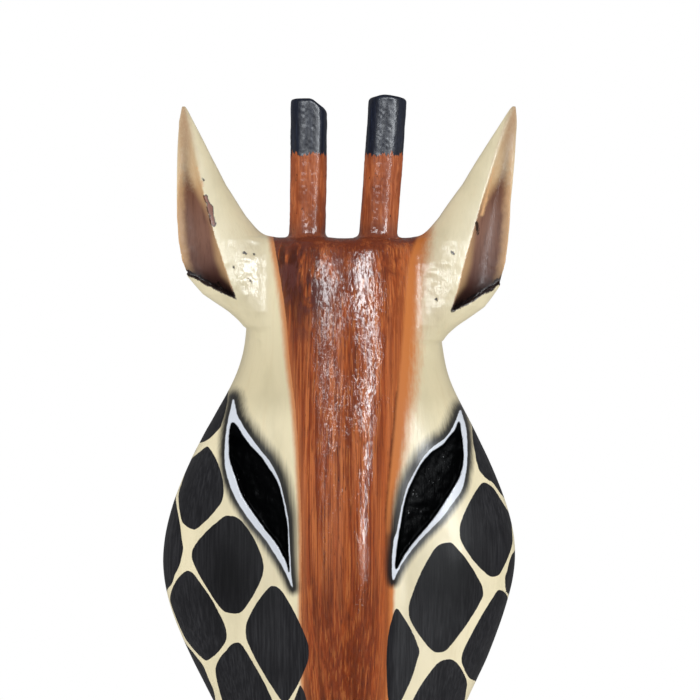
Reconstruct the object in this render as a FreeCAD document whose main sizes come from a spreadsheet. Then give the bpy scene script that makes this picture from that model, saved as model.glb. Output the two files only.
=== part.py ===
import FreeCAD
import Part
import math
import os
import Sketcher

# Carved and painted wooden giraffe mask that hangs on a wall.
# Frame: +Z up, the viewer looks along +Y, the flat back lies in the plane Y = 0 and the
# origin is where the axis of the wall nail meets that plane. Millimetres.

doc = FreeCAD.newDocument("giraffe_mask")
V = FreeCAD.Vector
X_AXIS, Y_AXIS, Z_AXIS = V(1, 0, 0), V(0, 1, 0), V(0, 0, 1)

# ---------------------------------------------------------------- driving dimensions

SIZES = [
    # alias, value, what it is
    ("seat_offset", 38.0, "distance of the ear glue faces from the middle plane"),
    ("crown_height", 32.0, "height of the crown above the nail"),
    ("body_power", 2.4, "roundness of the sections, 2 is an ellipse"),
    ("ridge_power", 2.6, "roundness of the nose ridge"),
    ("ridge_blend", 12.0, "blend between the nose ridge and the cheeks"),
    ("horn_setback", 28.0, "horn centre in front of the back plane"),
    ("horn_radius", 10.0, "corner radius of a whittled horn"),
    ("horn_base_scale", 0.94, "horn radius at the crown over its radius at the top"),
    ("horn_chamfer", 2.2, "chamfer round a horn's top"),
    ("left_horn_place", -16.8, "left horn centre at the crown"),
    ("left_horn_lean", 0.4, "sideways lean of the left horn over its length"),
    ("left_horn_length", 69.0, "left horn above the crown"),
    ("right_horn_place", 17.6, "right horn centre at the crown"),
    ("right_horn_lean", 5.2, "sideways lean of the right horn over its length"),
    ("right_horn_length", 70.8, "right horn above the crown"),
    ("dowel_radius", 4.0, "horn dowel"),
    ("dowel_length", 36.0, "horn dowel"),
    ("pin_radius", 3.0, "ear pin"),
    ("pin_length", 28.0, "ear pin"),
    ("pin_chamfer", 0.8, "chamfer at both ends of a pin or dowel"),
    ("pin_setback", 24.0, "ear pins in front of the back plane"),
    ("pin_upper_height", 25.0, "upper ear pin above the nail"),
    ("pin_lower_height", 7.0, "lower ear pin above the nail"),
    ("glue_gap", 0.1, "radial room for glue round dowels and pins"),
    ("end_gap", 1.0, "room past each end of a dowel or pin"),
    ("recess_floor", 22.5, "depth of the flat seat for the hanger"),
    ("recess_width", 26.0, "width of the flat seat"),
    ("recess_top", 8.0, "top of the flat seat above the nail"),
    ("recess_foot", 46.0, "foot of the flat seat below the nail"),
    ("strap_thick", 1.2, "hanger strap"),
    ("strap_width", 12.0, "hanger strap"),
    ("strap_rounding", 4.5, "corners at the lower end of the strap"),
    ("strap_foot", 42.0, "lower end of the strap below the nail"),
    ("flap_foot", 23.4, "lower end of the folded flap below the nail"),
    ("wire_radius", 1.25, "ring wire"),
    ("pivot_gap", 0.05, "running clearance round the ring's bar"),
    ("pivot_drop", 11.0, "ring pivot below the nail"),
    ("ring_half_width", 9.25, "wire centre line, half the ring's width"),
    ("ring_corner", 2.8, "wire centre line, lower corners of the ring"),
    ("ring_shoulder", 5.0, "height where the ring's arch starts, above the bar"),
    ("screw_upper_drop", 19.8, "upper screw below the nail"),
    ("screw_lower_drop", 35.0, "lower screw below the nail"),
    ("screw_radius", 1.75, "screw shank"),
    ("screw_length", 14.0, "screw under its head"),
    ("screw_point", 4.0, "tapered point of a screw"),
    ("head_radius", 3.2, "screw head"),
    ("head_height", 1.9, "screw head"),
    ("head_rim", 0.5, "straight rim under a screw's dome"),
    ("cross_reach", 1.9, "arm of the cross recess"),
    ("cross_half", 0.35, "half the width of a recess arm"),
    ("cross_depth", 1.0, "depth of the cross recess"),
    ("hole_gap", 0.15, "strap hole over the screw shank"),
]

# Sections of the head from the crown down: height, left and right half width, depth of the
# nose ridge, depth of the cheeks as a share of it, and half width of the ridge.
HEAD = [
    (32.0, 40.0, 41.0, 44.0, 0.90, 30.0),
    (29.5, 44.0, 44.5, 50.0, 0.90, 33.0),
    (24.0, 46.0, 46.5, 54.5, 0.90, 34.0),
    (12.0, 46.5, 47.0, 57.0, 0.90, 34.0),
    (0.0, 47.0, 47.5, 58.5, 0.90, 34.0),
    (-12.0, 48.0, 49.0, 59.5, 0.90, 34.0),
    (-25.0, 49.5, 51.0, 60.5, 0.89, 33.5),
    (-38.0, 53.5, 53.8, 61.5, 0.87, 33.0),
    (-55.0, 62.5, 61.5, 63.0, 0.84, 32.5),
    (-75.0, 73.5, 71.5, 64.5, 0.80, 32.0),
    (-97.0, 83.2, 81.0, 65.5, 0.76, 31.5),
    (-120.0, 89.3, 86.8, 66.0, 0.74, 31.0),
    (-137.0, 89.8, 86.5, 66.0, 0.74, 30.5),
    (-157.0, 85.5, 81.5, 65.0, 0.75, 29.5),
    (-180.0, 75.8, 72.8, 63.0, 0.78, 28.5),
    (-205.0, 63.2, 61.2, 60.0, 0.83, 27.5),
    (-232.0, 51.0, 49.8, 57.0, 0.90, 27.0),
    (-262.0, 40.5, 40.0, 54.5, 0.97, 26.0),
    (-295.0, 34.0, 33.8, 53.0, 1.00, 25.0),
    (-325.0, 33.5, 33.4, 56.0, 1.00, 25.0),
    (-352.0, 37.0, 37.0, 61.0, 1.00, 25.0),
    (-374.0, 37.0, 37.0, 62.0, 1.00, 25.0),
    (-388.0, 32.5, 32.5, 57.0, 1.00, 23.0),
    (-395.5, 25.5, 25.5, 48.0, 1.00, 19.0),
    (-398.0, 18.5, 18.5, 39.0, 1.00, 15.0),
]

# Sections of the hollow in the back: height, half width and depth.
HOLLOW = [
    (14.0, 25.0, 19.0),
    (2.0, 31.0, 21.5),
    (-26.0, 34.0, 22.0),
    (-60.0, 42.0, 22.0),
    (-100.0, 60.0, 23.0),
    (-137.0, 67.0, 24.0),
    (-170.0, 60.0, 24.0),
    (-205.0, 44.0, 22.0),
    (-240.0, 30.0, 20.0),
    (-280.0, 20.0, 16.0),
    (-315.0, 14.0, 9.0),
]

# Sections of the left ear from the tip down: height, centre from the middle plane, half
# width and half depth. The right ear is mirrored, with its own share of that reach.
EAR = [
    (97.0, 79.7, 1.9, 2.0),
    (90.0, 78.7, 4.2, 3.8),
    (76.0, 75.3, 7.8, 6.8),
    (58.0, 70.7, 12.4, 10.0),
    (42.0, 65.3, 17.3, 13.0),
    (30.0, 59.9, 21.9, 15.0),
    (20.0, 56.4, 24.0, 16.0),
    (12.0, 54.7, 22.8, 16.4),
    (3.0, 50.9, 18.9, 16.2),
    (-6.0, 44.2, 12.2, 14.6),
    (-13.0, 41.2, 7.6, 11.0),
]
EAR_SETBACK = {"root": 25.0, "tip": 21.0}
RIGHT_EAR_REACH = 1.022

# The scoop in an ear is a cone: foot and tip of its axis, and its radius at both.
SCOOP_FOOT, SCOOP_FOOT_RADIUS = V(74.3, -38.3, 8.5), 15.8
SCOOP_TIP, SCOOP_TIP_RADIUS = V(83.2, -25.2, 95.0), 4.6

# Outline of each eye socket on the face, from its upper corner down the cheek side to the
# lower corner, then back up the ridge side: distance from the middle plane and height.
LEFT_EYE = {
    "corners": ((54.2, -61.0), (26.0, -137.5)),
    "cheek": ((56.4, -72.0), (53.6, -87.0), (46.5, -102.5), (36.0, -117.5)),
    "ridge": ((26.0, -122.0), (28.4, -102.0), (34.0, -86.5), (45.5, -72.5)),
}
RIGHT_EYE = {
    "corners": ((59.0, -61.0), (26.8, -135.0)),
    "cheek": ((60.4, -75.0), (58.0, -90.0), (49.5, -104.5), (36.5, -120.0)),
    "ridge": ((27.0, -122.0), (29.8, -104.0), (35.5, -89.0), (46.5, -75.0)),
}
EYE_SLOPE_DEG = 25.0  # how the face falls away beside the ridge, where the eyes lie
EYE_FLOOR_REACH, EYE_FLOOR_DEPTH = 42.0, 33.0  # a point of the socket floor

# Half sizes of a nostril, its lean in degrees, and how far its middle lies behind the muzzle.
NOSTRIL = {"reach": 15.0, "height": -347.0, "wide": 3.6, "tall": 8.0, "deep": 9.0, "lean": 24.0, "behind": 5.0}

# The mouth is a groove round the muzzle, a shallow arc that climbs by "rise" over "reach". It
# stops "back_stop" short of the back plane and between the heights "low" and "high".
MOUTH = {
    "height": -371.0,
    "thick": 2.4,
    "deep": 3.2,
    "rise": 9.0,
    "reach": 60.0,
    "back_stop": 22.0,
    "low": -377.0,
    "high": -355.0,
    "margin": 30.0,
}

SECTION_RAYS = 18
OUTSIDE = 120.0  # beyond every surface, for cutting tools


def make_sheet():
    """The spreadsheet that every size is read from."""
    page = doc.addObject("Spreadsheet::Sheet", "sizes")
    row = 1
    for alias, value, what in SIZES:
        page.set(f"A{row}", alias)
        page.set(f"B{row}", str(value))
        page.setAlias(f"B{row}", alias)
        page.set(f"C{row}", what)
        row += 1
    for table, names, prefix in (
        (HEAD, ("height", "left", "right", "ridge_depth", "cheek_share", "ridge_half"), "head"),
        (HOLLOW, ("height", "half_width", "depth"), "hollow"),
        (EAR, ("height", "reach", "half_width", "half_depth"), "ear"),
    ):
        for number, station in enumerate(table):
            for name, value in zip(names, station):
                page.set(f"A{row}", f"{prefix}_{number:02d}_{name}")
                page.set(f"B{row}", str(value))
                page.setAlias(f"B{row}", f"{prefix}_{number:02d}_{name}")
                row += 1
    doc.recompute()
    return page


sheet = make_sheet()


def size(alias):
    return float(getattr(sheet, alias))


def station(prefix, number, *names):
    return [size(f"{prefix}_{number:02d}_{name}") for name in names]


def bind(obj, **expressions):
    """Binds properties to the spreadsheet. A double underscore stands for a dot."""
    for path, expression in expressions.items():
        obj.setExpression(path.replace("__", "."), expression)
    return obj


def on_sheet(text):
    """Writes sheet aliases, marked with @, the way an expression names them."""
    return text.replace("@", "sizes.")


# ---------------------------------------------------------------- sections and lofts


def section_radius(angle, half_width, ridge_depth, cheek_share, ridge_half):
    """Distance from the back's middle line to the carved face, at an angle from +X."""
    across, forward = abs(math.cos(angle)), math.sin(angle)

    def superellipse(half, depth, power):
        return ((across / half) ** power + (forward / depth) ** power) ** (-1 / power)

    body = superellipse(half_width, ridge_depth * cheek_share, size("body_power"))
    ridge = superellipse(ridge_half, ridge_depth, size("ridge_power"))
    blend = size("ridge_blend")
    overlap = max(blend - abs(body - ridge), 0.0)
    return max(body, ridge) + overlap**2 / (4 * blend)


def head_points(number, inset=0.0):
    """Points along the front of one section of the head, from the right edge to the left."""
    left, right, ridge_depth, share, ridge_half = station(
        "head", number, "left", "right", "ridge_depth", "cheek_share", "ridge_half"
    )
    points = []
    for ray in range(SECTION_RAYS + 1):
        angle = math.pi * ray / SECTION_RAYS
        half_width = right if angle < math.pi / 2 else left
        radius = section_radius(angle, half_width, ridge_depth, share, ridge_half) - inset
        points.append(V(radius * math.cos(angle), -radius * math.sin(angle), 0))
    return points


def open_section(name, points, height, depth_past_back=2.0):
    """A sketch with a spline along the front, closed by straight lines behind the back plane."""
    sketch = doc.addObject("Sketcher::SketchObject", name)
    spline = Part.BSplineCurve()
    spline.interpolate(points)
    sketch.addGeometry(spline)
    first, last = points[0], points[-1]
    behind = V(0, depth_past_back, 0)
    corners = [last, last + behind, first + behind, first]
    for start, end in zip(corners, corners[1:]):
        sketch.addGeometry(Part.LineSegment(start, end))
    bind(sketch, Placement__Base__z=height)
    return sketch


def closed_section(name, centre, half_width, half_depth, height):
    """A sketch with one closed spline through eight points of an ellipse."""
    sketch = doc.addObject("Sketcher::SketchObject", name)
    points = [
        centre + V(half_width * math.cos(k * math.pi / 4), half_depth * math.sin(k * math.pi / 4), 0)
        for k in range(8)
    ]
    spline = Part.BSplineCurve()
    spline.interpolate(points, PeriodicFlag=True)
    sketch.addGeometry(spline)
    bind(sketch, Placement__Base__z=height)
    return sketch


def loft(name, sections):
    solid = doc.addObject("Part::Loft", name)
    solid.Sections = sections
    solid.Solid = True
    return solid


def cylinder(name, radius, length, base, axis):
    """A cylinder bound to the sheet, which starts at base and runs along axis."""
    tool = doc.addObject("Part::Cylinder", name)
    bind(tool, Radius=radius, Height=length)
    tool.Placement = FreeCAD.Placement(base, FreeCAD.Rotation(Z_AXIS, axis))
    return tool


def box(name, low, high):
    block = doc.addObject("Part::Box", name)
    block.Length, block.Width, block.Height = high.x - low.x, high.y - low.y, high.z - low.z
    block.Placement.Base = low
    return block


def cut(name, base, tool):
    result = doc.addObject("Part::Cut", name)
    result.Base, result.Tool = base, tool
    return result


def fuse(name, shapes):
    result = doc.addObject("Part::MultiFuse", name)
    result.Shapes = shapes
    return result


def common(name, shapes):
    result = doc.addObject("Part::MultiCommon", name)
    result.Shapes = shapes
    return result


# ---------------------------------------------------------------- joinery

SIDES = {"left": -1, "right": 1}
PIN_ROWS = ("upper", "lower")


def pin_base(side, row, extra=0.0):
    """The end of an ear pin that lies in the head."""
    reach = size("seat_offset") - size("pin_length") / 2 - extra
    return V(SIDES[side] * reach, -size("pin_setback"), size(f"pin_{row}_height"))


def pin_hole(side, row, owner):
    return cylinder(
        f"{owner}_{side}_{row}_pin_hole",
        on_sheet("@pin_radius + @glue_gap"),
        on_sheet("@pin_length + 2 * @end_gap"),
        pin_base(side, row, size("end_gap")),
        X_AXIS * SIDES[side],
    )


def horn_foot(side):
    return V(size(f"{side}_horn_place"), -size("horn_setback"), size("crown_height"))


def horn_axis(side):
    return V(size(f"{side}_horn_lean"), 0, size(f"{side}_horn_length")).normalize()


def dowel_base(side, extra=0.0):
    """The lower end of a horn dowel, half of which lies in the head."""
    return horn_foot(side) - horn_axis(side) * (size("dowel_length") / 2 + extra)


def dowel_hole(side, owner):
    return cylinder(
        f"{owner}_{side}_dowel_hole",
        on_sheet("@dowel_radius + @glue_gap"),
        on_sheet("@dowel_length + 2 * @end_gap"),
        dowel_base(side, size("end_gap")),
        horn_axis(side),
    )


# ---------------------------------------------------------------- ears


def ear_sections(side):
    reach_share = RIGHT_EAR_REACH if side == "right" else 1.0
    tip_height = size("ear_00_height")
    sections = []
    for number in range(len(EAR)):
        height, reach, half_width, half_depth = station(
            "ear", number, "height", "reach", "half_width", "half_depth"
        )
        climb = max(height, 0) / tip_height
        setback = EAR_SETBACK["root"] + (EAR_SETBACK["tip"] - EAR_SETBACK["root"]) * climb
        sections.append(
            closed_section(
                f"{side}_ear_section_{number:02d}",
                V(SIDES[side] * reach * reach_share, -setback, 0),
                half_width,
                half_depth,
                on_sheet(f"@ear_{number:02d}_height"),
            )
        )
    return sections


def mirrored(point, side):
    reach_share = RIGHT_EAR_REACH if side == "right" else 1.0
    return V(SIDES[side] * point.x * reach_share, point.y, point.z)


def ear_scoop(side):
    """The cone that hollows an ear from the outside."""
    foot, tip = mirrored(SCOOP_FOOT, side), mirrored(SCOOP_TIP, side)
    tool = doc.addObject("Part::Cone", f"{side}_ear_scoop")
    tool.Radius1, tool.Radius2 = SCOOP_FOOT_RADIUS, SCOOP_TIP_RADIUS
    tool.Height = (tip - foot).Length
    tool.Placement = FreeCAD.Placement(foot, FreeCAD.Rotation(Z_AXIS, tip - foot))
    return tool


def make_ear(side):
    """The ear blank as the head meets it, and the finished ear."""
    blade = loft(f"{side}_ear_blade", ear_sections(side))
    seat = size("seat_offset")
    low_x, high_x = sorted((SIDES[side] * seat, SIDES[side] * OUTSIDE))
    outside = box(f"{side}_ear_side", V(low_x, -OUTSIDE, -OUTSIDE), V(high_x, OUTSIDE, OUTSIDE))
    root = common(f"{side}_ear_root", [blade, outside])
    scooped = cut(f"{side}_ear_scooped", root, ear_scoop(side))
    holes = fuse(f"{side}_ear_holes", [pin_hole(side, row, "ear") for row in PIN_ROWS])
    return root, cut(f"{side}_ear", scooped, holes)


# ---------------------------------------------------------------- head


def spline_through(points):
    spline = Part.BSplineCurve()
    spline.interpolate(points)
    return spline


def eye_tool(side, outline):
    """The leaf-shaped socket, cut square to the front down to a floor that follows the face."""
    sign = SIDES[side]

    def place(point):
        return V(sign * point[0], point[1], 0)

    upper, lower = outline["corners"]
    sketch = doc.addObject("Sketcher::SketchObject", f"{side}_eye_outline")
    sketch.addGeometry(spline_through([place(p) for p in (upper, *outline["cheek"], lower)]))
    sketch.addGeometry(spline_through([place(p) for p in (lower, *outline["ridge"], upper)]))
    sketch.Placement = FreeCAD.Placement(V(0, -OUTSIDE, 0), FreeCAD.Rotation(X_AXIS, 90))
    prism = doc.addObject("Part::Extrusion", f"{side}_eye_prism")
    prism.Base = sketch
    prism.DirMode = "Custom"
    prism.Dir = Y_AXIS
    prism.LengthFwd = OUTSIDE
    prism.Solid = True
    floor = box(f"{side}_eye_floor", V(-OUTSIDE, -OUTSIDE, -OUTSIDE), V(OUTSIDE, 0, OUTSIDE))
    turn = FreeCAD.Rotation(Z_AXIS, sign * EYE_SLOPE_DEG)
    at = V(sign * EYE_FLOOR_REACH, -EYE_FLOOR_DEPTH, upper[1])
    floor.Placement = FreeCAD.Placement(at, turn).multiply(floor.Placement)
    return common(f"{side}_eye_tool", [prism, floor])


def nostril_tool(side):
    sign = SIDES[side]
    tool = doc.addObject("Part::Ellipsoid", f"{side}_nostril")
    tool.Radius1, tool.Radius2, tool.Radius3 = NOSTRIL["deep"], NOSTRIL["wide"], NOSTRIL["tall"]
    upright = FreeCAD.Rotation(Z_AXIS, 90).multiply(FreeCAD.Rotation(Y_AXIS, 90))
    lean = FreeCAD.Rotation(Y_AXIS, sign * NOSTRIL["lean"])
    nearest = min(range(len(HEAD)), key=lambda n: abs(HEAD[n][0] - NOSTRIL["height"]))
    front = station("head", nearest, "ridge_depth")[0]
    at = V(sign * NOSTRIL["reach"], -front + NOSTRIL["behind"], NOSTRIL["height"])
    tool.Placement = FreeCAD.Placement(at, lean.multiply(upright))
    return tool


def hollow_tool():
    sections = []
    for number in range(len(HOLLOW)):
        half_width, depth = station("hollow", number, "half_width", "depth")
        points = [
            V(half_width * math.cos(math.pi * k / 8), -depth * math.sin(math.pi * k / 8), 0)
            for k in range(9)
        ]
        height = on_sheet(f"@hollow_{number:02d}_height")
        sections.append(open_section(f"hollow_section_{number:02d}", points, height))
    return loft("back_hollow", sections)


def recess_tool():
    """The flat seat chiselled for the hanger and its ring."""
    half = size("recess_width") / 2
    low = V(-half, -size("recess_floor"), -size("recess_foot"))
    return box("hanger_recess", low, V(half, 1.0, size("recess_top")))


def mouth_tool():
    """A groove of even depth round the front of the muzzle."""
    low, high = MOUTH["height"] - MOUTH["margin"], MOUTH["height"] + MOUTH["margin"]
    numbers = [n for n, row in enumerate(HEAD) if low < row[0] < high]
    core = loft(
        "mouth_core",
        [
            open_section(
                f"mouth_core_section_{n:02d}",
                head_points(n, MOUTH["deep"]),
                on_sheet(f"@head_{n:02d}_height"),
            )
            for n in numbers
        ],
    )
    reach = MOUTH["reach"]
    radius = reach**2 / (2 * MOUTH["rise"])
    centre = V(0, -OUTSIDE, MOUTH["height"] + radius)
    shell = []
    for label, edge in (("outer", radius), ("inner", radius - MOUTH["thick"])):
        disc = doc.addObject("Part::Cylinder", f"mouth_{label}")
        disc.Radius = edge
        disc.Height = OUTSIDE - MOUTH["back_stop"]
        disc.Placement = FreeCAD.Placement(centre, FreeCAD.Rotation(Z_AXIS, Y_AXIS))
        shell.append(disc)
    band = cut("mouth_band", *shell)
    window = box("mouth_window", V(-reach, -OUTSIDE, MOUTH["low"]), V(reach, 0, MOUTH["high"]))
    return cut("mouth_tool", common("mouth_slab", [band, window]), core)


def screw_base(row):
    """Where a screw's head meets the metal under it."""
    layers = 2 if row == "upper" else 1
    y = -size("recess_floor") + layers * size("strap_thick")
    return V(0, y, -size(f"screw_{row}_drop"))


def screw_pilot(row):
    return cylinder(
        f"head_{row}_screw_pilot",
        on_sheet("@screw_radius"),
        on_sheet("@screw_length"),
        screw_base(row),
        -Y_AXIS,
    )


def make_head(ear_roots):
    blank = loft(
        "head_blank",
        [
            open_section(
                f"head_section_{n:02d}", head_points(n), on_sheet(f"@head_{n:02d}_height")
            )
            for n in range(len(HEAD))
        ],
    )
    behind_wall = box("behind_wall", V(-OUTSIDE, 0, -4 * OUTSIDE), V(OUTSIDE, OUTSIDE, OUTSIDE))
    tools = [behind_wall, hollow_tool(), recess_tool(), mouth_tool()]
    tools += [eye_tool("left", LEFT_EYE), eye_tool("right", RIGHT_EYE)]
    for side in SIDES:
        tools += [nostril_tool(side), dowel_hole(side, "head")]
        tools += [pin_hole(side, row, "head") for row in PIN_ROWS]
        tools.append(ear_roots[side])
    tools += [screw_pilot("upper"), screw_pilot("lower")]
    result = blank
    for number, tool in enumerate(tools):
        result = cut(f"head_cut_{number:02d}", result, tool)
    return result


# ---------------------------------------------------------------- PartDesign helpers


def new_body(name):
    body = doc.addObject("PartDesign::Body", name)
    body.Label = name
    return body


def origin_plane(body, role):
    return next(f for f in body.Origin.OriginFeatures if f.Role == role)


def body_sketch(body, name, role="XY_Plane"):
    sketch = body.newObject("Sketcher::SketchObject", name)
    sketch.AttachmentSupport = [(origin_plane(body, role), "")]
    sketch.MapMode = "FlatFace"
    return sketch


def name_constraint(sketch, number, name, expression):
    sketch.renameConstraint(number, name)
    sketch.setExpression(f"Constraints.{name}", on_sheet(expression))


def circle_sketch(body, name, expression, centre=None, role="XY_Plane"):
    """A circle whose radius follows the sheet, centred on the origin or on a point."""
    sketch = body_sketch(body, name, role)
    at = centre or V(0, 0, 0)
    sketch.addGeometry(Part.Circle(at, Z_AXIS, 1.0))
    if centre is None:
        sketch.addConstraint(Sketcher.Constraint("Coincident", 0, 3, -1, 1))
    else:
        sketch.addConstraint(Sketcher.Constraint("DistanceX", -1, 1, 0, 3, at.x))
        sketch.addConstraint(Sketcher.Constraint("DistanceY", -1, 1, 0, 3, at.y))
    number = sketch.addConstraint(Sketcher.Constraint("Radius", 0, 1.0))
    name_constraint(sketch, number, "radius", expression)
    return sketch


def make_pin(name, radius, length, base, axis):
    """A round pin with a small chamfer at both ends."""
    body = new_body(name)
    pad = body.newObject("PartDesign::Pad", f"{name}_pad")
    pad.Profile = circle_sketch(body, f"{name}_circle", radius)
    bind(pad, Length=on_sheet(length))
    doc.recompute()
    chamfer = body.newObject("PartDesign::Chamfer", f"{name}_chamfer")
    rims = [
        f"Edge{n}"
        for n, edge in enumerate(pad.Shape.Edges, 1)
        if edge.Curve.TypeId == "Part::GeomCircle"
    ]
    chamfer.Base = (pad, rims)
    bind(chamfer, Size=on_sheet("@pin_chamfer"))
    body.Placement = FreeCAD.Placement(base, FreeCAD.Rotation(Z_AXIS, axis))
    return body


# ---------------------------------------------------------------- horns


def octagon_sketch(body, name, radius_expression, height_expression, shift_expression):
    """A regular octagon whose corner circle, height and sideways shift follow the sheet."""
    sketch = body_sketch(body, name)
    corners = [
        V(math.cos(math.pi / 8 + k * math.pi / 4), math.sin(math.pi / 8 + k * math.pi / 4), 0)
        for k in range(8)
    ]
    for start, end in zip(corners, corners[1:] + corners[:1]):
        sketch.addGeometry(Part.LineSegment(start, end))
    circle = sketch.addGeometry(Part.Circle(V(0, 0, 0), Z_AXIS, 1.0), True)
    sketch.addConstraint(Sketcher.Constraint("Coincident", circle, 3, -1, 1))
    for k in range(8):
        sketch.addConstraint(Sketcher.Constraint("Coincident", k, 2, (k + 1) % 8, 1))
        sketch.addConstraint(Sketcher.Constraint("PointOnObject", k, 1, circle))
        if k:
            sketch.addConstraint(Sketcher.Constraint("Equal", 0, k))
    sketch.addConstraint(Sketcher.Constraint("Horizontal", 1))
    number = sketch.addConstraint(Sketcher.Constraint("Radius", circle, 1.0))
    name_constraint(sketch, number, "corner_radius", radius_expression)
    sketch.setExpression("AttachmentOffset.Base.z", on_sheet(height_expression))
    sketch.setExpression("AttachmentOffset.Base.x", on_sheet(shift_expression))
    return sketch


def make_horn(side):
    """A whittled eight-sided peg with a chamfered top and a socket for its dowel."""
    body = new_body(f"{side}_horn")
    length, lean = f"@{side}_horn_length", f"@{side}_horn_lean"
    rings = [
        ("foot", "@horn_radius * @horn_base_scale", "0"),
        ("shoulder", "@horn_radius", f"({length} - @horn_chamfer) / {length}"),
        ("top", "@horn_radius - @horn_chamfer", "1"),
    ]
    sketches = [
        octagon_sketch(
            body,
            f"{side}_horn_{ring}",
            radius,
            f"{share} * {length} * 1 mm",
            f"{share} * {lean} * 1 mm",
        )
        for ring, radius, share in rings
    ]
    shaft = body.newObject("PartDesign::AdditiveLoft", f"{side}_horn_shaft")
    shaft.Profile = sketches[0]
    shaft.Sections = sketches[1:]
    shaft.Ruled = True
    body.Placement.Base = horn_foot(side)
    doc.recompute()
    return cut(f"{side}_horn_bored", body, dowel_hole(side, "horn"))


# ---------------------------------------------------------------- hanger


def make_strap():
    """A folded steel strip: the lower layer, the eye round the ring's bar, and the flap."""
    body = new_body("hanger_strap")
    thick, width = size("strap_thick"), size("strap_width")
    eye_radius = size("wire_radius") + size("pivot_gap")
    back = -size("recess_floor")
    eye_y, eye_z = back + eye_radius + thick, -size("pivot_drop")

    def strip(name, low_y, low_z, high_z):
        sketch = body_sketch(body, f"{name}_side", "YZ_Plane")
        corners = [V(low_y, low_z, 0), V(low_y + thick, low_z, 0)]
        corners += [V(low_y + thick, high_z, 0), V(low_y, high_z, 0)]
        for start, end in zip(corners, corners[1:] + corners[:1]):
            sketch.addGeometry(Part.LineSegment(start, end))
        for k in range(4):
            sketch.addConstraint(Sketcher.Constraint("Coincident", k, 2, (k + 1) % 4, 1))
        return pad_of(sketch, name)

    def pad_of(sketch, name):
        pad = body.newObject("PartDesign::Pad", name)
        pad.Profile = sketch
        pad.Midplane = True
        bind(pad, Length=on_sheet("@strap_width"))
        doc.recompute()
        return pad

    strip("strap_layer", back, -size("strap_foot"), eye_z)
    eye_at = V(eye_y, eye_z, 0)
    roll = circle_sketch(
        body, "strap_roll", "@wire_radius + @pivot_gap + @strap_thick", eye_at, "YZ_Plane"
    )
    pad_of(roll, "strap_roll_pad")
    strip("strap_flap", back + thick, -size("flap_foot"), eye_z)
    eye = body.newObject("PartDesign::Pocket", "strap_eye")
    eye.Profile = circle_sketch(body, "strap_eye_circle", "@wire_radius + @pivot_gap", eye_at, "YZ_Plane")
    eye.Midplane = True
    eye.Length = 2 * width
    doc.recompute()
    holes = body_sketch(body, "strap_holes", "XZ_Plane")
    for k, row in enumerate(("upper", "lower")):
        drop = size(f"screw_{row}_drop")
        holes.addGeometry(Part.Circle(V(0, -drop, 0), Z_AXIS, 1.0))
        holes.addConstraint(Sketcher.Constraint("PointOnObject", k, 3, -2))
        place = holes.addConstraint(Sketcher.Constraint("DistanceY", k, 3, -1, 1, drop))
        name_constraint(holes, place, f"{row}_drop", f"@screw_{row}_drop")
        round_size = holes.addConstraint(Sketcher.Constraint("Radius", k, 1.0))
        name_constraint(holes, round_size, f"{row}_radius", "@screw_radius + @hole_gap")
    drill = body.newObject("PartDesign::Pocket", "strap_drill")
    drill.Profile = holes
    drill.Midplane = True
    drill.Length = 4 * size("recess_floor")
    doc.recompute()
    corners = [
        f"Edge{n}"
        for n, edge in enumerate(drill.Shape.Edges, 1)
        if edge.Length < 1.01 * thick
        and edge.BoundBox.XLength < 0.01
        and edge.BoundBox.ZMax < -size("strap_foot") + 0.1
    ]
    rounding = body.newObject("PartDesign::Fillet", "strap_rounding")
    rounding.Base = (drill, corners)
    bind(rounding, Radius=on_sheet("@strap_rounding"))
    doc.recompute()
    return body


def make_ring():
    """A D of round wire: a straight bar through the strap's eye, two legs and an arch."""
    half, corner = size("ring_half_width"), size("ring_corner")
    shoulder = size("ring_shoulder")
    y = -size("recess_floor") + size("wire_radius") + size("pivot_gap") + size("strap_thick")
    bar_z = -size("pivot_drop")

    def at(x, z):
        return V(x, y, bar_z + z)

    slant = math.sqrt(0.5)
    start = at(0, 0)
    edges = [
        Part.LineSegment(start, at(half - corner, 0)),
        Part.Arc(
            at(half - corner, 0),
            at(half - corner + corner * slant, corner - corner * slant),
            at(half, corner),
        ),
        Part.LineSegment(at(half, corner), at(half, shoulder)),
        Part.Arc(at(half, shoulder), at(0, shoulder + half), at(-half, shoulder)),
        Part.LineSegment(at(-half, shoulder), at(-half, corner)),
        Part.Arc(
            at(-half, corner),
            at(-half + corner - corner * slant, corner - corner * slant),
            at(-half + corner, 0),
        ),
        Part.LineSegment(at(-half + corner, 0), start),
    ]
    path = Part.Wire([edge.toShape() for edge in edges])
    section = Part.Wire([Part.Circle(start, X_AXIS, size("wire_radius")).toShape()])
    ring = doc.addObject("Part::Feature", "hanger_ring")
    ring.Shape = Part.Solid(path.makePipeShell([section], True, True))
    return ring


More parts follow.
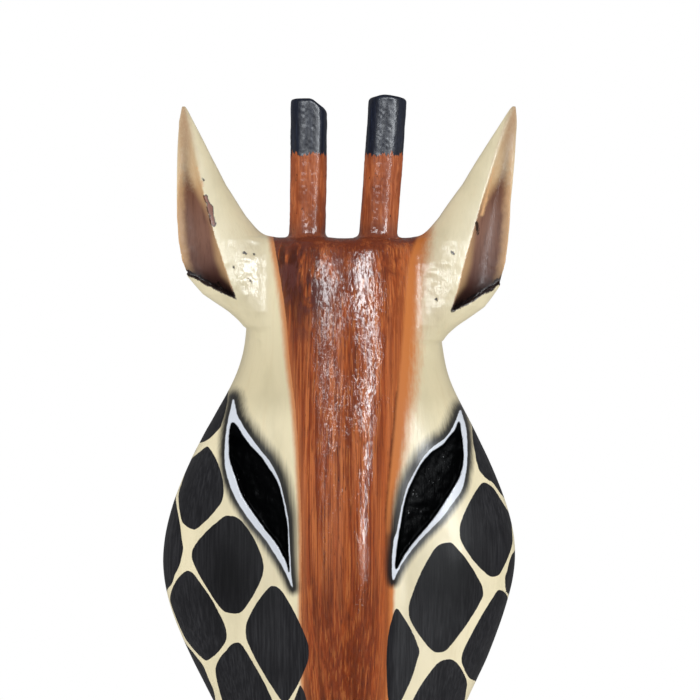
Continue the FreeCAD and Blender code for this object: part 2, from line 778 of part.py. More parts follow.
def make_screw(row):
    """A round-headed wood screw with a cross recess and a tapered point."""
    body = new_body(f"hanger_screw_{row}")
    shank, head = size("screw_radius"), size("head_radius")
    length, height = size("screw_length"), size("head_height")
    profile = body_sketch(body, f"{row}_screw_profile", "XZ_Plane")
    point_length, rim = size("screw_point"), size("head_rim")
    dome_radius = (head**2 + (height - rim) ** 2) / (2 * (height - rim))
    half_turn = math.asin(head / dome_radius) / 2
    dome_side, dome_top = V(head, rim, 0), V(0, height, 0)
    dome_middle = V(
        dome_radius * math.sin(half_turn),
        height - dome_radius * (1 - math.cos(half_turn)),
        0,
    )
    outline = [
        Part.LineSegment(dome_top, V(0, -length, 0)),
        Part.LineSegment(V(0, -length, 0), V(shank, -length + point_length, 0)),
        Part.LineSegment(V(shank, -length + point_length, 0), V(shank, 0, 0)),
        Part.LineSegment(V(shank, 0, 0), V(head, 0, 0)),
        Part.LineSegment(V(head, 0, 0), dome_side),
        Part.Arc(dome_side, dome_middle, dome_top),
    ]
    for piece in outline:
        profile.addGeometry(piece)
    turned = body.newObject("PartDesign::Revolution", f"{row}_screw_turned")
    turned.Profile = profile
    turned.ReferenceAxis = (profile, ["V_Axis"])
    turned.Angle = 360
    doc.recompute()
    cross = body_sketch(body, f"{row}_screw_cross")
    arm, slot = size("cross_reach"), size("cross_half")
    corners = []
    for quarter in range(4):
        turn = FreeCAD.Rotation(Z_AXIS, 90 * quarter)
        corners += [turn.multVec(p) for p in (V(slot, slot, 0), V(slot, arm, 0), V(-slot, arm, 0))]
    for start, end in zip(corners, corners[1:] + corners[:1]):
        cross.addGeometry(Part.LineSegment(start, end))
    cross.AttachmentOffset = FreeCAD.Placement(V(0, 0, height), FreeCAD.Rotation())
    recess = body.newObject("PartDesign::Pocket", f"{row}_screw_recess")
    recess.Profile = cross
    bind(recess, Length=on_sheet("@cross_depth"))
    body.Placement = FreeCAD.Placement(screw_base(row), FreeCAD.Rotation(Z_AXIS, Y_AXIS))
    doc.recompute()
    return body


# ---------------------------------------------------------------- assembly and export


def build():
    """Every sub-part by node name."""
    nodes, roots = {}, {}
    for side in SIDES:
        roots[side], nodes[f"{side}_ear"] = make_ear(side)
        nodes[f"{side}_horn"] = make_horn(side)
        nodes[f"{side}_horn_dowel"] = make_pin(
            f"{side}_horn_dowel", "@dowel_radius", "@dowel_length", dowel_base(side), horn_axis(side)
        )
        for row in PIN_ROWS:
            name = f"{side}_ear_pin_{row}"
            nodes[name] = make_pin(
                name, "@pin_radius", "@pin_length", pin_base(side, row), X_AXIS * SIDES[side]
            )
    nodes["head_carving"] = make_head(roots)
    nodes["hanger_strap"] = make_strap()
    nodes["hanger_ring"] = make_ring()
    for row in ("upper", "lower"):
        nodes[f"hanger_screw_{row}"] = make_screw(row)
    doc.recompute()
    for name, obj in nodes.items():
        obj.Label = name
    return nodes


def check(nodes):
    for obj in doc.Objects:
        bad = {"Invalid", "Error"} & set(obj.State)
        if bad:
            raise RuntimeError(f"{obj.Name} is {bad}")
    for name, obj in nodes.items():
        shape = obj.Shape
        if shape.isNull() or not shape.isValid() or not shape.Solids:
            raise RuntimeError(f"{name} has no valid shape")
        extent = shape.optimalBoundingBox()
        print(
            f"{name}: {len(shape.Solids)} solid, {shape.Volume / 1000:.2f} cm3,"
            f" x {extent.XMin:.1f} {extent.XMax:.1f} y {extent.YMin:.1f} {extent.YMax:.1f}"
            f" z {extent.ZMin:.1f} {extent.ZMax:.1f}"
        )


nodes = build()
check(nodes)
os.makedirs("parts", exist_ok=True)
for name, obj in nodes.items():
    obj.Shape.exportStep(os.path.join("parts", f"{name}.step"))
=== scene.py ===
import math
from functools import reduce

import bpy
import numpy as np
import openvdb
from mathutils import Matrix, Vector


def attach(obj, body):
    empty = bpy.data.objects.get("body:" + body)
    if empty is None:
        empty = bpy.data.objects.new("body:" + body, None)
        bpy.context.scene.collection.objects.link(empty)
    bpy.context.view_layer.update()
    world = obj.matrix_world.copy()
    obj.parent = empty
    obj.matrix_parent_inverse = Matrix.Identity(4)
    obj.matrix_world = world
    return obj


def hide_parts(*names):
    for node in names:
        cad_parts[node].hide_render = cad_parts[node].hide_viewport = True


# Painted giraffe mask: the looks. Lengths in the tables are millimetres in the CAD frame,
# +X to the viewer's right, +Z up and the flat back in the plane Y = 0.

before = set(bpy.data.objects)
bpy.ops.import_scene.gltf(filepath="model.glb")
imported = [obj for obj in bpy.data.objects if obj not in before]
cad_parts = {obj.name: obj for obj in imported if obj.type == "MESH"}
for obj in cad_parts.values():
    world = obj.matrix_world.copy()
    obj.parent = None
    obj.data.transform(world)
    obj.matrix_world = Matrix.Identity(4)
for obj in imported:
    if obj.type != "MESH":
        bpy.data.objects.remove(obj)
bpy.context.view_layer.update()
MM = 0.001

# ---------------------------------------------------------------- shape tables

# height, left half width, right half width, ridge depth, cheek share, ridge half width
HEAD = np.array([
    (32, 40, 41, 44, 0.90, 30),
    (29.5, 44, 44.5, 50, 0.90, 33),
    (24, 46, 46.5, 54.5, 0.90, 34),
    (12, 46.5, 47, 57, 0.90, 34),
    (0, 47, 47.5, 58.5, 0.90, 34),
    (-12, 48, 49, 59.5, 0.90, 34),
    (-25, 49.5, 51, 60.5, 0.89, 33.5),
    (-38, 53.5, 53.8, 61.5, 0.87, 33),
    (-55, 62.5, 61.5, 63, 0.84, 32.5),
    (-75, 73.5, 71.5, 64.5, 0.80, 32),
    (-97, 83.2, 81, 65.5, 0.76, 31.5),
    (-120, 89.3, 86.8, 66, 0.74, 31),
    (-137, 89.8, 86.5, 66, 0.74, 30.5),
    (-157, 85.5, 81.5, 65, 0.75, 29.5),
    (-180, 75.8, 72.8, 63, 0.78, 28.5),
    (-205, 63.2, 61.2, 60, 0.83, 27.5),
    (-232, 51, 49.8, 57, 0.90, 27),
    (-262, 40.5, 40, 54.5, 0.97, 26),
    (-295, 34, 33.8, 53, 1, 25),
    (-325, 33.5, 33.4, 56, 1, 25),
    (-352, 37, 37, 61, 1, 25),
    (-374, 37, 37, 62, 1, 25),
    (-388, 32.5, 32.5, 57, 1, 23),
    (-395.5, 25.5, 25.5, 48, 1, 19),
    (-398, 18.5, 18.5, 39, 1, 15),
], float)
BODY_POWER, RIDGE_POWER, RIDGE_BLEND = 2.4, 2.6, 12.0
CROWN_TOP, CHIN_BOTTOM = HEAD[0, 0], HEAD[-1, 0]

# height, half width, depth of the hollow in the back
HOLLOW = np.array([
    (14, 25, 19),
    (2, 31, 21.5),
    (-26, 34, 22),
    (-60, 42, 22),
    (-100, 60, 23),
    (-137, 67, 24),
    (-170, 60, 24),
    (-205, 44, 22),
    (-240, 30, 20),
    (-280, 20, 16),
    (-315, 14, 9),
], float)

# height, centre, half width, half depth of an ear
EAR = np.array([
    (98.5, 80.2, 0.6, 0.6),
    (97, 79.9, 1.9, 2),
    (90, 78.7, 4.2, 3.8),
    (76, 75.3, 7.8, 6.8),
    (58, 70.7, 12.4, 10),
    (42, 65.3, 17.3, 13),
    (30, 59.9, 21.9, 15),
    (20, 56.4, 24, 16),
    (12, 54.7, 22.8, 16.4),
    (3, 50.9, 18.9, 16.2),
    (-6, 44.2, 12.2, 14.6),
    (-13, 40.2, 8.2, 11),
    (-16, 38, 3, 6),
], float)
EAR_TOP, EAR_BOTTOM = 98.2, -15.5
RIGHT_EAR_REACH = 1.022
RIGHT_EAR_LEAN, RIGHT_EAR_SAG = 4.5, 7.0  # at its tip and at its foot

# The eye sockets' floor: its depth at one place on the cheek, and how it slopes from there.
EYE_FLOOR_REACH, EYE_FLOOR_DEPTH, EYE_FLOOR_SLOPE = 42.0, 33.5, 0.466
# The flat seat for the hanger, cut in the hollow: half width, depth, top and bottom.
SEAT_HALF_WIDTH, SEAT_DEPTH, SEAT_TOP, SEAT_BOTTOM = 13.0, 22.5, 8.0, -46.0
NOSTRIL_REACH, NOSTRIL_HEIGHT, NOSTRIL_HALF = 15.0, -347.0, (4.0, 8.5)
MOUTH_HEIGHT, MOUTH_RISE = -371.0, 8.1

# ---------------------------------------------------------------- small numeric tools


def spline(heights, values):
    """Natural cubic spline, returned as a function that holds its end values."""
    order = np.argsort(heights)
    x, y = np.asarray(heights, float)[order], np.asarray(values, float)[order]
    n, h = len(x), np.diff(x)
    matrix, right = np.eye(n), np.zeros(n)
    for i in range(1, n - 1):
        matrix[i, i - 1], matrix[i, i], matrix[i, i + 1] = h[i - 1], 2 * (h[i - 1] + h[i]), h[i]
        right[i] = 6 * ((y[i + 1] - y[i]) / h[i] - (y[i] - y[i - 1]) / h[i - 1])
    bend = np.linalg.solve(matrix, right)

    def at(q):
        q = np.clip(q, x[0], x[-1])
        i = np.clip(np.searchsorted(x, q) - 1, 0, n - 2)
        a, b, step = x[i + 1] - q, q - x[i], h[i]
        smooth = (bend[i] * a**3 + bend[i + 1] * b**3) / (6 * step)
        below, above = y[i] / step - bend[i] * step / 6, y[i + 1] / step - bend[i + 1] * step / 6
        return smooth + below * a + above * b

    return at


def line(heights, values):
    """Straight pieces between the given heights, holding the end values."""
    order = np.argsort(heights)
    x, y = np.asarray(heights, float)[order], np.asarray(values, float)[order]
    return lambda q: np.interp(q, x, y)


def smooth_max(a, b, k):
    return np.maximum(a, b) + np.maximum(k - np.abs(a - b), 0) ** 2 / (4 * k)


def smooth_min(a, b, k):
    return -smooth_max(-a, -b, k)


def rise(value, middle, width):
    """Goes from 0 to 1 about the middle."""
    return 1 / (1 + np.exp((middle - value) / width))


def ellipse_distance(p, q, half_p, half_q):
    """About the distance to an ellipse, negative inside."""
    k0 = np.sqrt((p / half_p) ** 2 + (q / half_q) ** 2) + 1e-6
    k1 = np.sqrt((p / half_p**2) ** 2 + (q / half_q**2) ** 2) + 1e-6
    return k0 * (k0 - 1) / k1


def between_cells(cells, p, q):
    """The table's value at a place between its cells."""
    p, q = (np.clip(place, 0, count - 1.001) for place, count in zip((p, q), cells.shape))
    i, j = p.astype(int), q.astype(int)
    a, b = p - i, q - j
    near = cells[i, j] * (1 - a) + cells[i + 1, j] * a
    far = cells[i, j + 1] * (1 - a) + cells[i + 1, j + 1] * a
    return near * (1 - b) + far * b


def lattice(seed, size=24):
    return np.random.default_rng(seed).random((size, size, size)).astype(np.float32) * 2 - 1


def wave(x, y, z, scale, table):
    """Smooth value noise in -1..1 with bumps about `scale` millimetres across."""
    size, total = table.shape[0], 0
    cell, mix = [], []
    for axis in (x, y, z):
        q = axis / scale
        base = np.floor(q)
        part = q - base
        cell.append(base.astype(int))
        mix.append(part * part * (3 - 2 * part))
    for corner in range(8):
        index, weight = [], 1
        for axis in range(3):
            up = corner >> axis & 1
            index.append((cell[axis] + up) % size)
            weight = weight * (mix[axis] if up else 1 - mix[axis])
        total = total + weight * table[index[0], index[1], index[2]]
    return total


LUMPS = lattice(7)

# ---------------------------------------------------------------- outlines drawn on the face


def round_corners(points, radius):
    """The closed outline with each corner swept into a short curve."""
    points = np.array(points, float)
    points = points[np.hypot(*(points - np.roll(points, 1, 0)).T) > 1e-6]
    out = []
    for i, corner in enumerate(points):
        before, after = points[i - 1] - corner, points[(i + 1) % len(points)] - corner
        length_before, length_after = np.hypot(*before), np.hypot(*after)
        start = corner + before / length_before * min(radius, length_before * 0.45)
        end = corner + after / length_after * min(radius, length_after * 0.45)
        for t in np.linspace(0, 1, 7):
            out.append((1 - t) ** 2 * start + 2 * t * (1 - t) * corner + t * t * end)
    return np.array(out)


def through(points, steps=8):
    """A closed Catmull-Rom curve through the points."""
    points = np.array(points, float)
    n, out = len(points), []
    for i in range(n):
        a, b, c, d = (points[(i + k) % n] for k in (-1, 0, 1, 2))
        for t in np.arange(steps) / steps:
            square, cube = 2 * a - 5 * b + 4 * c - d, 3 * b - a - 3 * c + d
            out.append(0.5 * (2 * b + (c - a) * t + square * t**2 + cube * t**3))
    return np.array(out)


def outline_distance(outline, u, v):
    """Distance to a closed outline, negative inside."""
    shape = u.shape
    u, v = u.ravel(), v.ravel()
    best = np.full(u.shape, 1e9)
    inside = np.zeros(u.shape, bool)
    low, high = outline.min(0) - 12, outline.max(0) + 12
    near = (u > low[0]) & (u < high[0]) & (v > low[1]) & (v < high[1])
    uu, vv = u[near], v[near]
    b, hit = np.full(uu.shape, 1e9), np.zeros(uu.shape, bool)
    for (x0, y0), (x1, y1) in zip(outline, np.roll(outline, -1, 0)):
        dx, dy = x1 - x0, y1 - y0
        t = np.clip(((uu - x0) * dx + (vv - y0) * dy) / (dx * dx + dy * dy + 1e-12), 0, 1)
        b = np.minimum(b, (uu - x0 - t * dx) ** 2 + (vv - y0 - t * dy) ** 2)
        if y0 != y1:
            crossing = ((vv < y0) != (vv < y1)) & (uu < x0 + (vv - y0) * dx / dy)
            hit ^= crossing
    best[near], inside[near] = np.sqrt(b), hit
    best[~near] = 12.0
    return np.where(inside, -best, best).reshape(shape)


# The eyes: the white line's outer edge, and the edge of the hole.
EYES = {
    "left": {
        "line": [
            (-54.5, -48.7), (-56.1, -55), (-57.6, -62), (-58.8, -72), (-58.6, -83), (-56.7, -91),
            (-53.6, -98.7), (-49.8, -105), (-44.8, -112), (-38.6, -119.5), (-33.6, -127),
            (-29.2, -134.4), (-24.5, -144), (-25.1, -135.6), (-25.9, -120), (-26.7, -108.7),
            (-28.3, -100.6), (-30.4, -91.8), (-32.3, -86.8), (-36.1, -80), (-39.8, -75.6),
            (-43.6, -70.6), (-47.3, -65.6), (-50.4, -60.6), (-52.3, -57),
        ],
        "hole": [
            (-55.1, -61.5), (-56.3, -68), (-56.3, -74), (-55.9, -80), (-53.9, -86), (-50.4, -96),
            (-47.0, -102), (-42.3, -108.7), (-37.3, -115.6), (-32.9, -121), (-27.9, -130),
            (-26.3, -135.6), (-26.9, -124), (-27.3, -113), (-28.9, -103.7), (-31.3, -93.4),
            (-33.7, -88.4), (-36.8, -83.7), (-40.4, -78.4), (-44.2, -74.5), (-48.6, -69.3),
            (-52.3, -63.4),
        ],
    },
    "right": {
        "line": [
            (59.3, -54.6), (60.8, -58), (62.4, -64), (63, -71), (63, -77.4), (62.7, -82.4),
            (61.6, -89.5), (59.6, -95.9), (54.8, -102.6), (49.8, -109.2), (44, -115), (38.2, -121),
            (32.3, -128.4), (28.2, -135.2), (25.5, -140.3), (24.6, -132.5), (25.5, -120), (26.8, -116),
            (28, -110), (29.6, -102.4), (31.4, -95.6), (33.9, -89.3), (37.1, -83.7), (40.2, -78.7),
            (43.3, -75), (47.1, -71.8), (50.8, -69.3), (53.9, -65.6), (56.4, -61),
        ],
        "hole": [
            (58.6, -61), (59.8, -68), (60.5, -74), (60.5, -80), (58.9, -87.5), (54.9, -94.8),
            (50.7, -101.5), (45.7, -108.8), (40.9, -114.6), (35.9, -120.4), (30.9, -127.2),
            (26.9, -134.2), (27.2, -126), (28.4, -117.4), (29.6, -110.6), (30.7, -103.9),
            (32.6, -96.4), (35.1, -90.6), (38.4, -84), (41.9, -79), (46.2, -75), (50.4, -72.4),
            (53.5, -68.6), (56.6, -65),
        ],
    },
}

# The brown stripe's edges, and how far the orange spray runs out past each.
STRIPE_LEFT = spline([33, 18, -6, -34, -50, -80, -100, -120, -155, -200, -260, -310, -335],
                     [-34.8, -32.2, -28.4, -25.8, -23.8, -21.7, -20.7, -20.2, -20.4, -19, -19, -24, -34])
STRIPE_RIGHT = spline([32, 24, 0, -20, -50, -80, -100, -110, -130, -150, -180, -200, -260, -310, -335],
                      [38, 35, 31.5, 30.2, 27.5, 24.8, 22.8, 22.4, 23.6, 23.8, 22.8, 22, 20, 24.5, 34])
SPRAY_LEFT = line([33, 0, -60, -140, -200, -340], [3.6, 3.8, 3.0, 2.2, 2.4, 2.4])
SPRAY_RIGHT = line([32, 20, 0, -25, -50, -80, -100, -140, -340], [9, 12, 10.5, 11.5, 11.5, 8.5, 5, 3, 3])

# Spots, as corners on the face seen square from the front. A corner whose reach is past the
# head's own width lies on the back edge.
EDGE = 130.0
SPOTS = [
    # left cheek, from the top
    [(-57.5, -49), (-60.2, -61.5), (-63, -66.5), (-70.3, -71.8), (-EDGE, -72.5), (-EDGE, -40)],
    [(-72.6, -74), (-79, -84), (-EDGE, -86), (-EDGE, -76)],
    [(-67, -72.5), (-60.5, -85), (-59, -100), (-73.2, -115.4), (-80.5, -111), (-82, -96), (-77, -82)],
    [(-83.3, -101), (-80.1, -120), (-80.1, -128), (-83.6, -137.6),
     (-86.3, -144), (-EDGE, -151), (-EDGE, -92)],
    [(-55.5, -107.5), (-61, -109.5), (-74.5, -123.5), (-75, -131), (-60, -155.5),
     (-50, -156.3), (-39.3, -138), (-40, -127), (-49, -111)],
    [(-77.5, -135), (-72, -139.5), (-58.5, -162), (-58, -171),
     (-68, -181.5), (-79, -170), (-86.8, -151), (-84, -142)],
    [(-36, -142.5), (-30, -144.5), (-16.8, -170), (-17, -181),
     (-28.5, -203), (-47.6, -171), (-47.6, -160)],
    [(-53, -170.8), (-49.2, -173), (-32.8, -203), (-32.5, -213), (-38, -224),
     (-51, -224), (-60.5, -200), (-63.7, -184), (-58, -175)],
    [(-79.2, -172), (-69.8, -183), (-64.6, -195), (-63, -206), (-EDGE, -214), (-EDGE, -160)],
    [(-21, -191), (-17.5, -199), (-17.6, -214), (-24, -222), (-28, -214)],
    # left side of the muzzle
    [(-55.5, -216), (-49.5, -229), (-46.5, -242), (-EDGE, -250), (-EDGE, -218)],
    [(-33.5, -226), (-46, -229), (-43, -244), (-34, -257), (-24.5, -249), (-24.5, -236)],
    [(-39.5, -254), (-35, -264), (-34.5, -281), (-EDGE, -286), (-EDGE, -256)],
    [(-22, -255), (-31, -262), (-30.5, -280), (-25.5, -289), (-20.5, -282)],
    [(-30.5, -288), (-29, -306), (-EDGE, -312), (-EDGE, -292)],
    # right cheek, from the top
    [(65.2, -65.6), (66.8, -77), (67.7, -82.4), (70.2, -87.4),
     (75.2, -91.2), (82, -100), (EDGE, -100), (EDGE, -56)],
    [(69.5, -91), (76, -94), (85.3, -110), (85.8, -122),
     (79, -138), (72.5, -137.8), (59.3, -121), (59.3, -110)],
    [(85.4, -127), (82.7, -136), (81.6, -141), (82.6, -147), (EDGE, -151), (EDGE, -123)],
    [(52.5, -120.8), (57, -123.2), (69.5, -141), (70.8, -149), (52.5, -175.4),
     (45, -175.4), (33.3, -159), (34.3, -148), (45.5, -124.5)],
    [(79, -145), (83, -149), (EDGE, -153), (EDGE, -181),
     (66.5, -193.5), (60, -182.5), (60.3, -175.5), (75.8, -148.5)],
    [(26.5, -153.5), (29.5, -156), (38, -172), (38, -179),
     (29.5, -201), (24.5, -205), (22.5, -196), (22.5, -168)],
    [(52, -179.4), (57.5, -181.2), (63, -192), (60.5, -206), (51, -224),
     (38, -224), (32.5, -213), (33.5, -203), (45.5, -183.5)],
    [(66.5, -199), (EDGE, -190), (EDGE, -216), (60, -214)],
    [(25, -211), (30.5, -221), (30, -229), (25, -240), (21.5, -230), (21.5, -216)],
    # right side of the muzzle
    [(55, -219), (EDGE, -222), (EDGE, -248), (45.5, -245), (48.5, -231)],
    [(34, -230), (45, -230), (42.5, -245), (33.5, -258), (24.5, -251), (25.5, -242)],
    [(40, -252), (EDGE, -254), (EDGE, -284), (34, -279), (34.5, -263)],
    [(22.5, -257), (30.5, -264), (30, -281), (24.5, -290), (21, -281)],
    [(29.5, -288), (EDGE, -291), (EDGE, -311), (28.5, -304)],
]

# ---------------------------------------------------------------- the carved form

columns = [spline(HEAD[:, 0], HEAD[:, k]) for k in range(1, 6)]
hollow_columns = [spline(HOLLOW[:, 0], HOLLOW[:, k]) for k in (1, 2)]
ear_columns = [line(EAR[:, 0], EAR[:, k]) for k in (1, 2, 3)]


def section(angle, right_side, z):
    """Distance from the back's middle line to the face, at an angle from the side."""
    left, right, depth, share, ridge_half = (column(z) for column in columns)
    width = left + (right - left) * right_side
    across, forward = np.abs(np.cos(angle)), np.sin(angle)

    def superellipse(half, deep, power):
        return ((across / half) ** power + (forward / deep) ** power) ** (-1 / power)

    body = superellipse(width, depth * share, BODY_POWER)
    return smooth_max(body, superellipse(ridge_half, depth, RIDGE_POWER), RIDGE_BLEND)


def head_field(x, y, z):
    """Signed distance to the uncut head, close enough near its surface."""
    flat = np.minimum(y, 0)
    radius = np.hypot(x, flat) + 1e-6
    angle = np.arctan2(-flat, np.abs(x))
    side = 0.5 + 0.5 * np.tanh(x / 6)
    here = section(angle, side, z)
    turn = (section(np.minimum(angle + 0.02, math.pi / 2 + 0.02), side, z) - here) / 0.02
    climb = (section(angle, side, z + 0.5) - here) / 0.5
    solid = (radius - here) / np.sqrt(1 + (turn / radius) ** 2 + climb**2)
    dip = 1.3 * np.exp(-(((x - 0.5) / 9) ** 2)) + 0.02 * np.abs(x)  # between the horns
    solid = smooth_max(solid, z - CROWN_TOP + dip, 3.0)
    solid = smooth_max(solid, CHIN_BOTTOM - z, 1.5)
    return smooth_max(solid, y, 1.6)


def ear_frame(x, z, side):
    """Distance out and height in the left ear's measure: the right one hangs lower and leans out."""
    if side == "left":
        return -x, z
    lean = RIGHT_EAR_LEAN * np.clip((z - 48) / 45, 0, 1.1) ** 1.2
    sag = RIGHT_EAR_SAG * (1 - rise(z, 12, 6))
    return (x - lean) / RIGHT_EAR_REACH, z + sag


def ear_field(x, y, z, side):
    """An upright leaf of oval sections that leans back towards its foot."""
    out, up = ear_frame(x, z, side)
    reach, half_width, half_depth = (column(up) for column in ear_columns)
    setback = 25 - 4 * np.clip(up, 0, 97) / 97
    flank = ellipse_distance(out - reach, y + setback, half_width, half_depth) / 1.06
    return np.maximum(np.maximum(flank, up - EAR_TOP), EAR_BOTTOM - up)


# The axis of the scoop in an ear, in the left ear's measure.
CUP_FOOT, CUP_TIP = np.array((74.4, -38.2, 8.5)), np.array((83.3, -25.0, 95.0))


def cup_place(x, y, z, side):
    """Share of the way up an ear's scoop, and distance from its axis."""
    out, up = ear_frame(x, z, side)
    px, py, pz = out - CUP_FOOT[0], y - CUP_FOOT[1], up - CUP_FOOT[2]
    axis = CUP_TIP - CUP_FOOT
    length = np.linalg.norm(axis)
    axis = axis / length
    along = px * axis[0] + py * axis[1] + pz * axis[2]
    qx, qy, qz = px - along * axis[0], py - along * axis[1], pz - along * axis[2]
    return along / length, np.sqrt(qx**2 + qy**2 + qz**2)


def cup_field(x, y, z, side):
    """Signed distance to the scoop in an ear: a tapered trough with a slanted ledge below."""
    share, radius = cup_place(x, y, z, side)
    rim = 4.6 + 12.9 * np.clip(1 - share, 0, 1.3) ** 1.5
    trough = (radius - rim) * 0.97
    ragged = 0.45 * wave(x, y, z, 3.5, LUMPS) + 0.35 * wave(x, y, z, 1.7, LUMPS)
    return smooth_max(trough + ragged * 0.12, -above_ledge(x, z, side) * 0.88 + ragged, 1.0)


def above_ledge(x, z, side):
    """Height over the slanted ledge under an ear's scoop."""
    out, up = ear_frame(x, z, side)
    return up - 12.4 - 0.5 * (out - 75.6)


def ear_root(x, z):
    """1 where filler was worked into the joint of an ear, fading to 0 around it."""
    return np.exp(-(((np.abs(x) - 49) / 10) ** 2) - ((z - 13) / 18) ** 2)


def eye_cut(x, y, z, side, sign):
    """A blind socket with a rough slanted floor, shallower at its upper corner."""
    hole = outline_grids[side]["hole"](x, z)
    floor = EYE_FLOOR_SLOPE * (np.abs(x) - EYE_FLOOR_REACH) - EYE_FLOOR_DEPTH
    shelf = 5.0 * rise(z, -70, 1.2) if side == "left" else 3.0 * rise(z, -66, 1.5)
    rough = 0.35 * wave(x, y, z, 5, LUMPS) + 0.2 * wave(x, y, z, 2.2, LUMPS)
    return smooth_max(np.where(x * sign > 0, hole, 12.0), (y - floor + shelf) * 0.9 + rough, 2.0)


def hollow_field(x, y, z):
    """The gouged hollow in the back, with the flat seat that was cut in it for the hanger."""
    half_width, depth = (np.maximum(column(z), 3.0) for column in hollow_columns)
    trough = ellipse_distance(x, np.minimum(y, 0), half_width, depth)
    hollow = smooth_max(trough, np.maximum(z - HOLLOW[0, 0], HOLLOW[-1, 0] - z), 5.0)
    hollow = hollow + 0.5 * wave(x, y, z * 0.4, 8, LUMPS) + 0.25 * wave(x, y, z, 3.5, LUMPS)
    across = np.maximum(np.abs(x) - SEAT_HALF_WIDTH, -SEAT_DEPTH - y)
    seat = np.maximum(across, np.maximum(z - SEAT_TOP, SEAT_BOTTOM - z))
    return smooth_min(hollow, seat, 0.6)


def carving_field(x, y, z):
    """Signed distance to head and ears as one carved and filled form."""
    solid = head_field(x, y, z)
    for side in ("left", "right"):
        solid = smooth_min(solid, ear_field(x, y, z, side), 9.0)
    undulation = 0.28 * wave(x, y, z * 0.5, 17, LUMPS) + 0.10 * wave(x, y, z * 0.6, 6, LUMPS)
    lumpy = 0.36 * wave(x, y, z, 4.6, LUMPS) + 0.2 * wave(x, y, z, 2.3, LUMPS)
    filler = ear_root(x, z) * (y < -4) * lumpy
    solid = solid + (undulation + filler) * np.clip(-y / 4, 0, 1)
    for side in ("left", "right"):
        rounding = 0.8 + 2.4 * np.clip((z - 40) / 40, 0, 1)
        solid = smooth_max(solid, -cup_field(x, y, z, side), rounding)
    for side, sign in (("left", -1), ("right", 1)):
        solid = smooth_max(solid, -eye_cut(x, y, z, side, sign), 0.8)
        solid = smooth_max(solid, -nostril_field(x, y, z, sign), 1.0)
    solid = smooth_max(solid, -mouth_field(x, y, z), 0.8)
    return np.where(y > -40, smooth_max(solid, -hollow_field(x, y, z), 1.2), solid)


def nostril_field(x, y, z, sign):
    """A drop-shaped hole, leaning outwards at its top."""
    across, above = x * sign - NOSTRIL_REACH, z - NOSTRIL_HEIGHT
    u, v = across * 0.91 - above * 0.40, across * 0.40 + above * 0.91
    opening = ellipse_distance(u, v, *NOSTRIL_HALF)
    return smooth_max(np.where(x * sign > 0, opening, 20.0), y + 46, 2.0)


def mouth_height(x):
    """The line between the lips, which turns up towards the cheeks."""
    return MOUTH_HEIGHT + MOUTH_RISE * (x / HEAD[-4, 1]) ** 2


def mouth_field(x, y, z):
    """A narrow slit, cut to one depth under the skin."""
    inner = head_field(x, y, z) + 3.2
    slit = np.abs(z - mouth_height(x)) - 1.1
    return smooth_max(smooth_max(slit, -inner, 0.8), y + 16, 1.5)


class Raster:
    """An outline's distance on a half-millimetre raster over the face, read between cells."""

    def __init__(self, low, high, make, step=0.5):
        self.low, self.step = np.array(low, float), step
        u = np.arange(low[0], high[0] + step, step)
        v = np.arange(low[1], high[1] + step, step)
        self.cells = make(*np.meshgrid(u, v, indexing="ij")).astype(np.float32)

    def __call__(self, u, v):
        return between_cells(self.cells, (u - self.low[0]) / self.step, (v - self.low[1]) / self.step)


def eye_raster(side, name):
    """The distance to one of an eye's outlines, seen square from the front."""
    shape = through(EYES[side][name])
    return Raster((-100, -165), (100, -35), lambda u, v: outline_distance(shape, u, v))


outline_grids = {side: {name: eye_raster(side, name) for name in ("line", "hole")} for side in EYES}

# ---------------------------------------------------------------- meshing


def mesh_field(field, low, high, step):
    """Quads on a field's zero surface, with each point moved on to it, and the normals."""
    xs = np.arange(low[0], high[0] + step, step)
    ys = np.arange(low[1], high[1] + step, step)
    zs = np.arange(low[2], high[2] + step, step)
    block, band = 4, 4.0  # cells looked at together first, and cells kept each side of the surface
    middles = [axis[::block] + (block - 1) / 2 * step for axis in (xs, ys, zs)]
    rough = field(*np.meshgrid(*middles, indexing="ij"))
    rough = rough.repeat(block, 0).repeat(block, 1).repeat(block, 2)[:len(xs), :len(ys), :len(zs)]
    values = np.clip(rough / step, -band, band).astype(np.float32)
    half_diagonal = block * 0.87
    near = np.nonzero(np.abs(rough) < step * (half_diagonal + 1.5) * 1.35)
    chunk = 400000
    for start in range(0, len(near[0]), chunk):
        i, j, k = (index[start:start + chunk] for index in near)
        values[i, j, k] = np.clip(field(xs[i], ys[j], zs[k]) / step, -band, band)
    grid = openvdb.FloatGrid(band)
    grid.copyFromArray(values)
    points, quads = grid.convertToQuads(0.0)
    points = points.astype(float) * step + np.array(low)
    for _ in range(3):
        value = field(*points.T)
        normals = gradient(field, points, step * 0.35)
        size = np.linalg.norm(normals, axis=1, keepdims=True) + 1e-9
        points = points - np.clip(value[:, None] / size, -step, step) * normals / size
    normals = gradient(field, points, step * 0.5)
    return points, quads, normals / (np.linalg.norm(normals, axis=1, keepdims=True) + 1e-9)


def gradient(field, points, h):
    """The field's slope at each point, from differences over twice h."""
    out = np.empty_like(points)
    for axis in range(3):
        ahead, behind = points.copy(), points.copy()
        ahead[:, axis] += h
        behind[:, axis] -= h
        out[:, axis] = (field(*ahead.T) - field(*behind.T)) / (2 * h)
    return out


